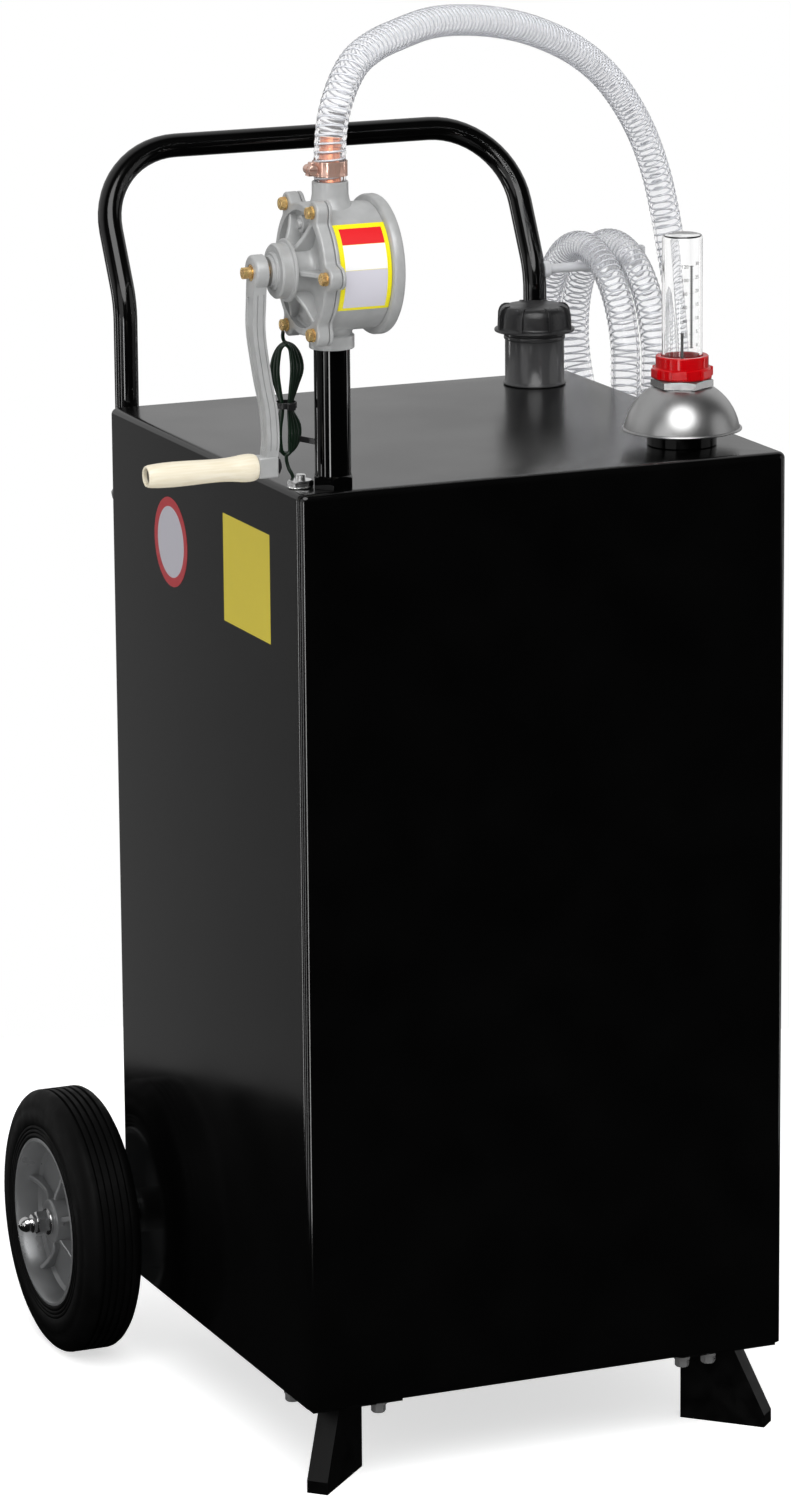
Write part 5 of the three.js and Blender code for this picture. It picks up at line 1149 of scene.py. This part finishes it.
COLUMN_BORE, COLUMN_LOW, COLUMN_HIGH = 10.8, 26, 832.5
SOCKET_HEX, SOCKET_TOP, SOCKET_TURN = 28, 10, 2.25
DOME_WIDTH, DOME_RISE, DOME_CENTRE, DOME_SHEET = 44.6, 43.9, 7.06, 1.1
DOME_ANGLES = (8, 12, 17, 22, 28, 34, 40, 46, 52, 57)
TUBE_OUTSIDE, MARK_RISE, MARK_WIDTH = 15.5, 0.05, 0.7
SCALE_AT, SCALE_LOW, SCALE_PITCH, SCALE_MARKS, LONG_MARK = 26.8, 76.5, 1.3, 48, 8
# Half the width in degrees of the scale's long marks, short marks and spine.
LONG_HALF, SHORT_HALF, SPINE_HALF = 5.6, 4.4, 1.1
FIGURE_SIZE = 3.8


def make_column():
    """The suction tube through the tank's top, and the hexagon socket that holds it."""
    at = spot(*COLUMN, 0)
    edge = COLUMN_RADIUS - 0.4
    tube = turned([
        (COLUMN_BORE, COLUMN_LOW), (edge, COLUMN_LOW), (COLUMN_RADIUS, COLUMN_LOW + 0.4),
        (COLUMN_RADIUS, COLUMN_HIGH - 0.4), (edge, COLUMN_HIGH), (COLUMN_BORE, COLUMN_HIGH),
    ], at)
    placed(tube, "suction_column", tube_black, "black_paint", "suction_tube")
    seat = TANK_HEIGHT + GAP
    first = (math.cos(SOCKET_TURN), math.sin(SOCKET_TURN), 0)
    socket = hex_prism(SOCKET_HEX, seat, TANK_HEIGHT + SOCKET_TOP, at, first=first, chamfer=0.06)
    drilled(socket, bar(COLUMN_RADIUS + GAP, seat - 1, seat + 20, at, sides=SMOOTH_TURN))
    placed(socket, "column_hex_socket", tube_black, "black_paint", "column_socket")


def make_filler():
    """The grey filler neck with its thread, the ribbed cap, and the seal in the cap's top."""
    at = spot(*FILLER, TANK_HEIGHT)
    wall = [
        (20.5, -14), (21.8, -14), (21.8, 0.3), (24.8, 0.3), (25.2, 0.7), (25.2, 1.7), (24.7, 2.3),
        (23.8, 3.4),
        (23.8, 36.6), (24.4, 37), (24.7, 37.6), (24.7, 39.9), (24.4, 40.3), (23.8, 40.6),
    ]
    for low in (43.6, 47, 50.4, 53.8):
        wall += [(23.8, low), (24.15, low + 0.7), (24.15, low + 1.4), (23.8, low + 2.1)]
    neck = turned([*wall, (23.8, 57.6), (23.4, 58), (20.9, 58), (20.5, 57.6)], at, angle=50)
    placed(neck, "filler_pipe", grey_moulding, "grey_plastic", "filler_neck")
    cap = turned([
        (0, 60.5), (24.4, 60.5), (24.4, 43.5), (32, 43.5), (32.3, 43.9), (32.3, 44.9), (31.9, 45.5),
        (30.2, 46.2),
        (29.3, 47.3), (29.2, 48), (28.6, 56.6), (27.9, 59.4), (26.6, 61.8), (24.9, 63.4), (22.8, 64), (0, 64),
    ], at, sides=FINE_TURN)
    outline = [(25.4, 44.5), (31.6, 44.5), (31.5, 46.4), (31, 57.4), (30, 60.6), (28.4, 62.9), (26, 64.3),
               (22, 64.6), (20.2, 62.7), (25.4, 61.2)]
    ribs = plates_round([(r, -1.3, z) for r, z in outline], (0, 2.6, 0), turns(8), "Z", at)
    cap = fused(cap, *[eased(rib, 0.35) for rib in ribs])
    placed(cap, "filler_screw_cap", cap_moulding, "grey_plastic", "filler_cap", body="cap")
    seal = turned([
        (19, 58.4), (19.2, 58.3), (23.6, 58.3), (23.8, 58.5), (23.8, 60), (23.6, 60.2), (19.2, 60.2),
        (19, 60),
    ], at)
    placed(seal, "cap_gasket", tyre_rubber, "rubber", "cap_seal", body="cap")


def dome_arc(sheet=0):
    """The dome's rounding from its rim up to its flat top, as radius and height."""
    width, rise = DOME_WIDTH - sheet, DOME_RISE - sheet
    angles = [math.radians(a) for a in DOME_ANGLES]
    return [(width * math.cos(a), DOME_CENTRE + rise * math.sin(a)) for a in angles]


def make_gauge():
    """The float gauge: threaded neck, spun dome, hexagon nut, red collar and clear sight tube."""
    at = spot(*GAUGE, TANK_HEIGHT)
    neck = turned([
        (13, -14), (17.5, -14), (17.5, 0.3), (26.3, 0.3), (26.7, 0.7), (26.7, 7.8), (27.2, 8.2), (27.6, 8.8),
        (27.6, 10.2), (27.2, 10.8), (26.7, 11.2), (26.7, 19.4), (26.1, 20), (17.5, 20), (17.5, 38),
        (22, 42.9),
        (22, 43.2), (17.5, 43.2), (17.5, 55.6), (17.1, 56), (13, 56),
    ], at)
    placed(neck, "gauge_stem", tube_black, "black_paint", "gauge_neck")
    dome = turned([
        (17.9, 44.9), (23, 44.6), *reversed(dome_arc()), (44.3, 13.7), (45, 13.6), (45.7, 13.3), (46, 12.7),
        (45.9, 12.1), (45.4, 11.9), (44.4, 12.1), (43.4, 12.7), *dome_arc(DOME_SHEET), (22.6, 43.5),
        (17.9, 43.8),
    ], at, sides=120)
    placed(dome, "gauge_spun_dome", spun_aluminium, "bright_steel", "gauge_dome")
    first = (math.cos(math.pi / 6), math.sin(math.pi / 6), 0)
    nut = hex_prism(41.7, 45.2, 51.2, at, first=first, chamfer=0.03)
    drilled(nut, bar(17.8, 40, 60, at, sides=SMOOTH_TURN))
    placed(nut, "gauge_hex_nut", nut_steel, "bright_steel", "gauge_nut")
    ring = turned([
        (17.8, 51.5), (21, 51.5), (22, 52.6), (22, 59), (21.4, 59.8), (20.3, 60.2), (20.3, 68.2), (19.7, 69),
        (16.5, 69), (16.1, 68.6), (16.1, 58.6), (17.8, 58.6),
    ], at, sides=FINE_TURN)
    outline = ((19.3, 52), (22.8, 52), (23.6, 53), (23.6, 59.6), (19.3, 59.6))
    lugs = plates_round([(r, -6, z) for r, z in outline], (0, 12, 0), turns(6), "Z", at)
    collar = fused(ring, *[eased(lug, 0.6) for lug in lugs])
    placed(collar, "gauge_red_collar", red_moulding, "red_plastic", "gauge_collar")
    tube = turned([
        (0, 160.2), (12.2, 160.2), (13.2, 159.8), (13.7, 158.9), (13.7, 56.3), (17.2, 56.3), (17.2, 58.3),
        (15.5, 58.3), (15.5, 159), (15.2, 160.4), (14.4, 161.5), (12.9, 162), (0, 162),
    ], at)
    placed(tube, "gauge_tube", clear_acrylic, "clear_plastic", "gauge_sight_tube")
    low = (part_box("gauge_pointer")[0].z - at.z) / MM
    needle = turned([(0, low), (1.1, low), (1.1, 85.4), (0.8, 85.9), (0, 86)], at, sides=20)
    placed(needle, "gauge_needle", needle_steel, "steel", "gauge_pointer", body="pointer")


def arc_patch(low, high, radius, rise, start, end, at, axis, first):
    """A thin curved plate round an axis: between two heights in mm and two angles in degrees from first."""
    away = Matrix.Rotation(math.radians(end), 3, axis) @ Vector(first)
    corners = [(radius, low), (radius + rise, low), (radius + rise, high), (radius, high)]
    fill_outline([at + (away * r + axis * h) * MM for r, h in corners])
    steps = max(2, round((end - start) / 3))
    bpy.ops.mesh.spin(steps=steps, angle=math.radians(end - start), center=at, axis=axis)
    return end_drawing()


def wrapped_figure(figure, angle, height, at):
    """A number printed on the sight tube: flat text made a mesh, then bent round the tube."""
    bpy.ops.object.select_all(action="DESELECT")
    bpy.ops.object.text_add()
    text = bpy.context.object
    text.data.body = figure
    text.data.size = FIGURE_SIZE * MM
    text.data.align_x = text.data.align_y = "CENTER"
    text.data.extrude = MARK_RISE / 2 * MM
    text.data.resolution_u = 2
    bpy.ops.object.convert(target="MESH")
    number = bpy.context.object
    for vertex in number.data.vertices:
        across, up, proud = vertex.co
        turn = angle + across / (TUBE_OUTSIDE * MM)
        radius = TUBE_OUTSIDE * MM + proud + MARK_RISE / 2 * MM
        vertex.co = at + Vector((radius * math.cos(turn), radius * math.sin(turn), height * MM + up))
    return number


def make_scale():
    """The gauge's printed scale: a ladder of fine marks with plain numbers on both sides."""
    at = spot(*GAUGE, TANK_HEIGHT)
    facing = math.atan2(CAMERA_SPOT.y - at.y, CAMERA_SPOT.x - at.x)
    first = (math.cos(facing), math.sin(facing), 0)

    def mark(low, high, half):
        return arc_patch(low, high, TUBE_OUTSIDE, MARK_RISE, SCALE_AT - half, SCALE_AT + half, at, UP, first)

    heights = [SCALE_LOW + SCALE_PITCH * i for i in range(SCALE_MARKS + 1)]
    pieces = [
        mark(height, height + MARK_WIDTH, SHORT_HALF if i % LONG_MARK else LONG_HALF)
        for i, height in enumerate(heights)
    ]
    pieces.append(mark(SCALE_LOW, SCALE_LOW + SCALE_PITCH * SCALE_MARKS, SPINE_HALF))
    for i, height in enumerate(heights[::LONG_MARK]):
        pieces.append(wrapped_figure(str(5 * i), facing + math.radians(46), height + 2, at))
        if i:
            pieces.append(wrapped_figure(str(20 * i), facing + math.radians(7.5), height, at))
    placed(united(pieces), "gauge_scale_print", printed_ink, "black_plastic")


# Labels, all bare

LABEL_RADIUS, FILM = 47, 0.12
LABEL_DISC, LABEL_RIM_FROM, LABEL_RIM_TO = 28.5, 28, 35.2


def make_pump_label():
    """The film round the pump's barrel: yellow edge, a red and a white band and a pale panel, all bare."""
    for name, low, high, rise, start, end, film in (
        ("label_edge", -28.8, 11.4, FILM, -34, 49, yellow_film),
        ("label_red_band", -25.4, 7.8, 2 * FILM, 28, 44, red_film),
        ("label_white_band", -25.4, 7.8, 2 * FILM, 5, 27.7, white_film),
        ("label_pale_panel", -25.4, 7.8, 2 * FILM, -31, 4.7, pale_film),
    ):
        patch = arc_patch(low, high, LABEL_RADIUS, rise, start, end, PUMP, CRANKWARD, -BACKWARD)
        placed(patch, name, film, "cast_aluminium")


def make_tank_labels():
    """Two bare films on the tank's left side: a pale disc with a red rim, both coloured darker as painted
    shade of that side, and a yellow sheet.
    """
    side = -TANK_SIDE / 2
    at = spot(side, 67, 626)
    # The disc's film is coloured grey as painted shade of the tank's left side.
    placed(bar(LABEL_DISC, 0, FILM, at, OUT_LEFT, FINE_TURN), "round_label", disc_film_painted_shade, "black_paint")
    # The rim's red film is darkened as painted shade of the tank's left side.
    rim = [(LABEL_RIM_FROM, 0), (LABEL_RIM_TO, 0), (LABEL_RIM_TO, 1.3 * FILM), (LABEL_RIM_FROM, 1.3 * FILM)]
    placed(turned(rim, at, OUT_LEFT, FINE_TURN), "round_label_rim", rim_film_painted_shade, "black_paint")
    corners = [(side, y, z) for y, z in ((-139, 586), (-44.5, 586), (-44.5, 669.5), (-139, 669.5))]
    sheet = plate(tank_origin, corners, (-FILM, 0, 0))
    placed(sheet, "yellow_label", dull_yellow_film, "black_paint")


# Hose fittings, hook, nozzle, bonding nut and ties

def make_barb():
    """The hose tail, seen through the hose: a root in the outlet and a shank of sharp ridges."""
    at = spot(*COLUMN, OUTLET_TOP)
    root, shank, ridge, pitch, length, bore, step = 10, 7.4, 1.1, 5.4, 34, 6, 0.6
    line = [p for p in hose_line()[:80] if p.z - at.z < length * MM]
    stations = evenly(line, round(length / step))
    frames = frames_along(stations)
    foot = ((-12, root), (-GAP, root), (-GAP, shank))
    rings = [ring_at(at + UP * h * MM, frames[0], r * MM, SMALL_TURN) for h, r in foot]
    for i, (p, f) in enumerate(zip(stations, frames)):
        radius = shank + ridge * (1 - i * step / pitch % 1)
        rings.append(ring_at(p, f, radius * MM, SMALL_TURN))
    rings += [ring_at(stations[i], frames[i], bore * MM, SMALL_TURN) for i in (-1, -9)]
    tail = smoothed(skinned("tail", rings, copper_brass), 40)
    placed(tail, "hose_tail", copper_brass, "brass", "hose_barb")


def make_clamp():
    """The worm clamp: a slotted band, its screw housing and the slotted screw."""
    at = spot(*COLUMN, OUTLET_TOP)
    inner, outer, low, high, screw, half = 12.3, 13.1, 4, 15, 3.6, 3.5
    band = turned([
        (inner, low), (outer - 0.1, low), (outer, low + 0.5), (outer - 0.15, low + 1.2),
        (outer - 0.15, high - 1.2), (outer, high - 0.5), (outer - 0.1, high), (inner, high),
    ], at, sides=FINE_TURN)
    corners = [(inner + 0.45, y, z) for y, z in ((-0.7, 6.6), (-0.1, 6.6), (0.7, 12.4), (0.1, 12.4))]
    angles = [math.radians(205 + 7.6 * i) for i in range(26)]
    drilled(band, united(plates_round(corners, (2, 0, 0), angles, "Z", at)))
    worm_at = at + Vector((-16.4, 0, (low + high) / 2)) * MM
    outline = ((-18.5, low + 0.6), (-11.5, low + 0.4), (-11.5, high - 0.4), (-16, high - 0.4))
    block = eased(plate(at, [(x, -half, z) for x, z in outline], (0, 2 * half, 0)), 0.5)
    housing = fused(bar(screw, -half, half, worm_at, BACKWARD), block)
    drilled(housing, bar(inner, low - 2, high + 2, at, sides=SMOOTH_TURN))
    head = turned([
        (0, -9), (3, -9), (screw, -8.6), (screw, -4.6), (3, -4.2), (2.6, -4.2), (2.6, 6), (0, 6),
    ], worm_at, BACKWARD, SMALL_TURN)
    slot = [(x, -10, z) for x, z in ((-4, -0.45), (4, -0.45), (4, 0.45), (-4, 0.45))]
    drilled(head, plate(worm_at, slot, (0, 2, 0)))
    placed(fused(band, housing, head), "worm_clamp", clamp_steel, "bright_steel", "hose_clamp")


def make_hook():
    """The bent rod under the coil's crown, with its boss on the right-hand leg."""
    low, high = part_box("hose_hook")
    radius, bend, ease = 4 * MM, 6 * MM, 1.5 * MM
    y, z = (low.y + high.y) / 2, spot(0, 0, 790.7).z
    start, end = low.x, high.x - radius
    line = [Vector((start, y, z)), Vector((start + 2 * MM, y, z))]
    for i in range(9):
        angle = math.pi / 2 * i / 8
        line.append(Vector((end - bend + bend * math.sin(angle), y, z + bend * (1 - math.cos(angle)))))
    line += [Vector((end, y, high.z - ease)), Vector((end, y, high.z))]
    radii = [radius] * (len(line) - 1) + [radius - ease]
    rings = [ring_at(p, f, r, 24) for p, f, r in zip(line, frames_along(line), radii)]
    rod = smoothed(skinned("hook", rings, white_zinc), 40)
    boss = turned([(0, 0), (6.6, 0), (7, 0.4), (7, 5), (6, 6), (0, 6)], (start, y, z), OUT_RIGHT, SMALL_TURN)
    placed(fused(rod, boss), "hose_hook_rod", white_zinc, "bright_steel", "hose_hook")


def make_nozzle():
    """The delivery nozzle: ferrule, ringed grip, cone and bent open spout."""
    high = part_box("hose_nozzle")[1]
    hang = spot(216, COIL_CENTRE[1] - COIL_RADIUS, 0)
    at = Vector((hang.x, hang.y, high.z))
    grip = [(0, 0), (12, 0), (13.2, 1.2), (13.2, 33.2), (12.6, 34.6)]
    for i in range(9):
        grip += [(12.6, 38 + 7 * i), (11.6, 39 + 7 * i), (11.6, 40 + 7 * i), (12.6, 41 + 7 * i)]
    grip += [(12.6, 103), (10.5, 105.4), (10.5, 117), (9.8, 120), (8.2, 128.4), (7.6, 130), (0, 130)]
    body = turned(grip, at, -UP)
    bend, radius, start, spout_radius, reach = math.radians(28), 60, 128, 7.6, 60
    line = [Vector((0, 0, -start)), Vector((0, 0, -start - 4))]
    for i in range(7):
        angle = bend * i / 6
        line.append(Vector((0, radius * (1 - math.cos(angle)), -start - 11 - radius * math.sin(angle))))
    line.append(line[-1] + Vector((0, math.sin(bend), -math.cos(bend))) * reach)
    line = [at + p * MM for p in line]
    spout = smoothed(tube_along("spout", line, spout_radius * MM, 32, nozzle_alloy), 40)
    drilled(spout, bar(6.2, -40, 2, line[-1], (line[-1] - line[-2]).normalized()))
    placed(fused(body, spout), "delivery_nozzle", nozzle_alloy, "steel", "hose_nozzle")


def make_ground_nut():
    """The bonding stud: washer, ring terminal with its crimp barrel, nut and threaded end, all bright."""
    at = spot(*GROUND_NUT, TANK_HEIGHT)
    washer = turned([(4.2, 0.3), (9.2, 0.3), (9.6, 0.6), (9.6, 1.2), (9.2, 1.5), (4.2, 1.5)], at)
    outline = [(-3, 4), (3, 4), (3, 14), (2.2, 16.2), (-2.2, 16.2), (-3, 14)]
    lug = eased(plate(at, [(x, y, GAP) for x, y in outline], (0, 0, 1.2)), 0.3)
    nut = hex_prism(17, 1.4, 6, at, chamfer=0.08)
    thread = [(4, 5), *thread_turns(6.1, 0.35, 5)]
    stud = turned([(0, 1), *thread, (3.9, 9.6), (3.4, 10), (0, 10)], at, sides=SMALL_TURN)
    placed(fused(nut, washer, lug, stud), "bonding_nut", bright_nickel, "bright_steel", "ground_nut")


def make_ties():
    """The black tie round the hank's waist and the short strap from the hank to the column."""
    centre = spot(COLUMN[0] - HANK["beside"] - 0.4, COLUMN[1] + HANK["behind"] - 0.8,
                  TANK_HEIGHT + HANK["waist"] - 2.2)

    def band(half_x, half_y, low, depth):
        oval = [(half_x * math.cos(a), half_y * math.sin(a), low) for a in turns(40)]
        return plate(centre, oval, (0, 0, depth))

    tie = drilled(band(8, 9, 0, 4.4), band(7, 8, -1, 7))
    corners = [(x, y, -0.6) for x, y in ((-3, -8.6), (3, -8.6), (3, -12.4), (-3, -12.4))]
    lock = eased(plate(centre, corners, (0, 0, 5.6)), 0.6)
    placed(fused(tie, lock), "hank_tie", black_moulding, "black_plastic")
    ends = [Vector((-9.6, 9.9, 0)), Vector((-16.5, 23.5, 0.4))]
    across = (ends[1] - ends[0]).cross(UP).normalized() * 0.6
    corners = [ends[0] - across, ends[1] - across, ends[1] + across, ends[0] + across]
    strap = eased(plate(spot(*COLUMN, TANK_HEIGHT + 31), corners, (0, 0, 4.4)), 0.3)
    placed(strap, "hank_strap", black_moulding, "black_plastic")


for make in (
    make_tank, make_foot_bolts, make_handle, make_wheels, make_pump_body, make_pump_cover, make_pump_back,
    make_cover_bolts, make_crank, make_crank_fittings, make_column, make_filler, make_gauge, make_scale,
    make_pump_label, make_tank_labels, make_barb, make_clamp, make_hook,
    make_nozzle, make_ground_nut, make_ties,
):
    make()
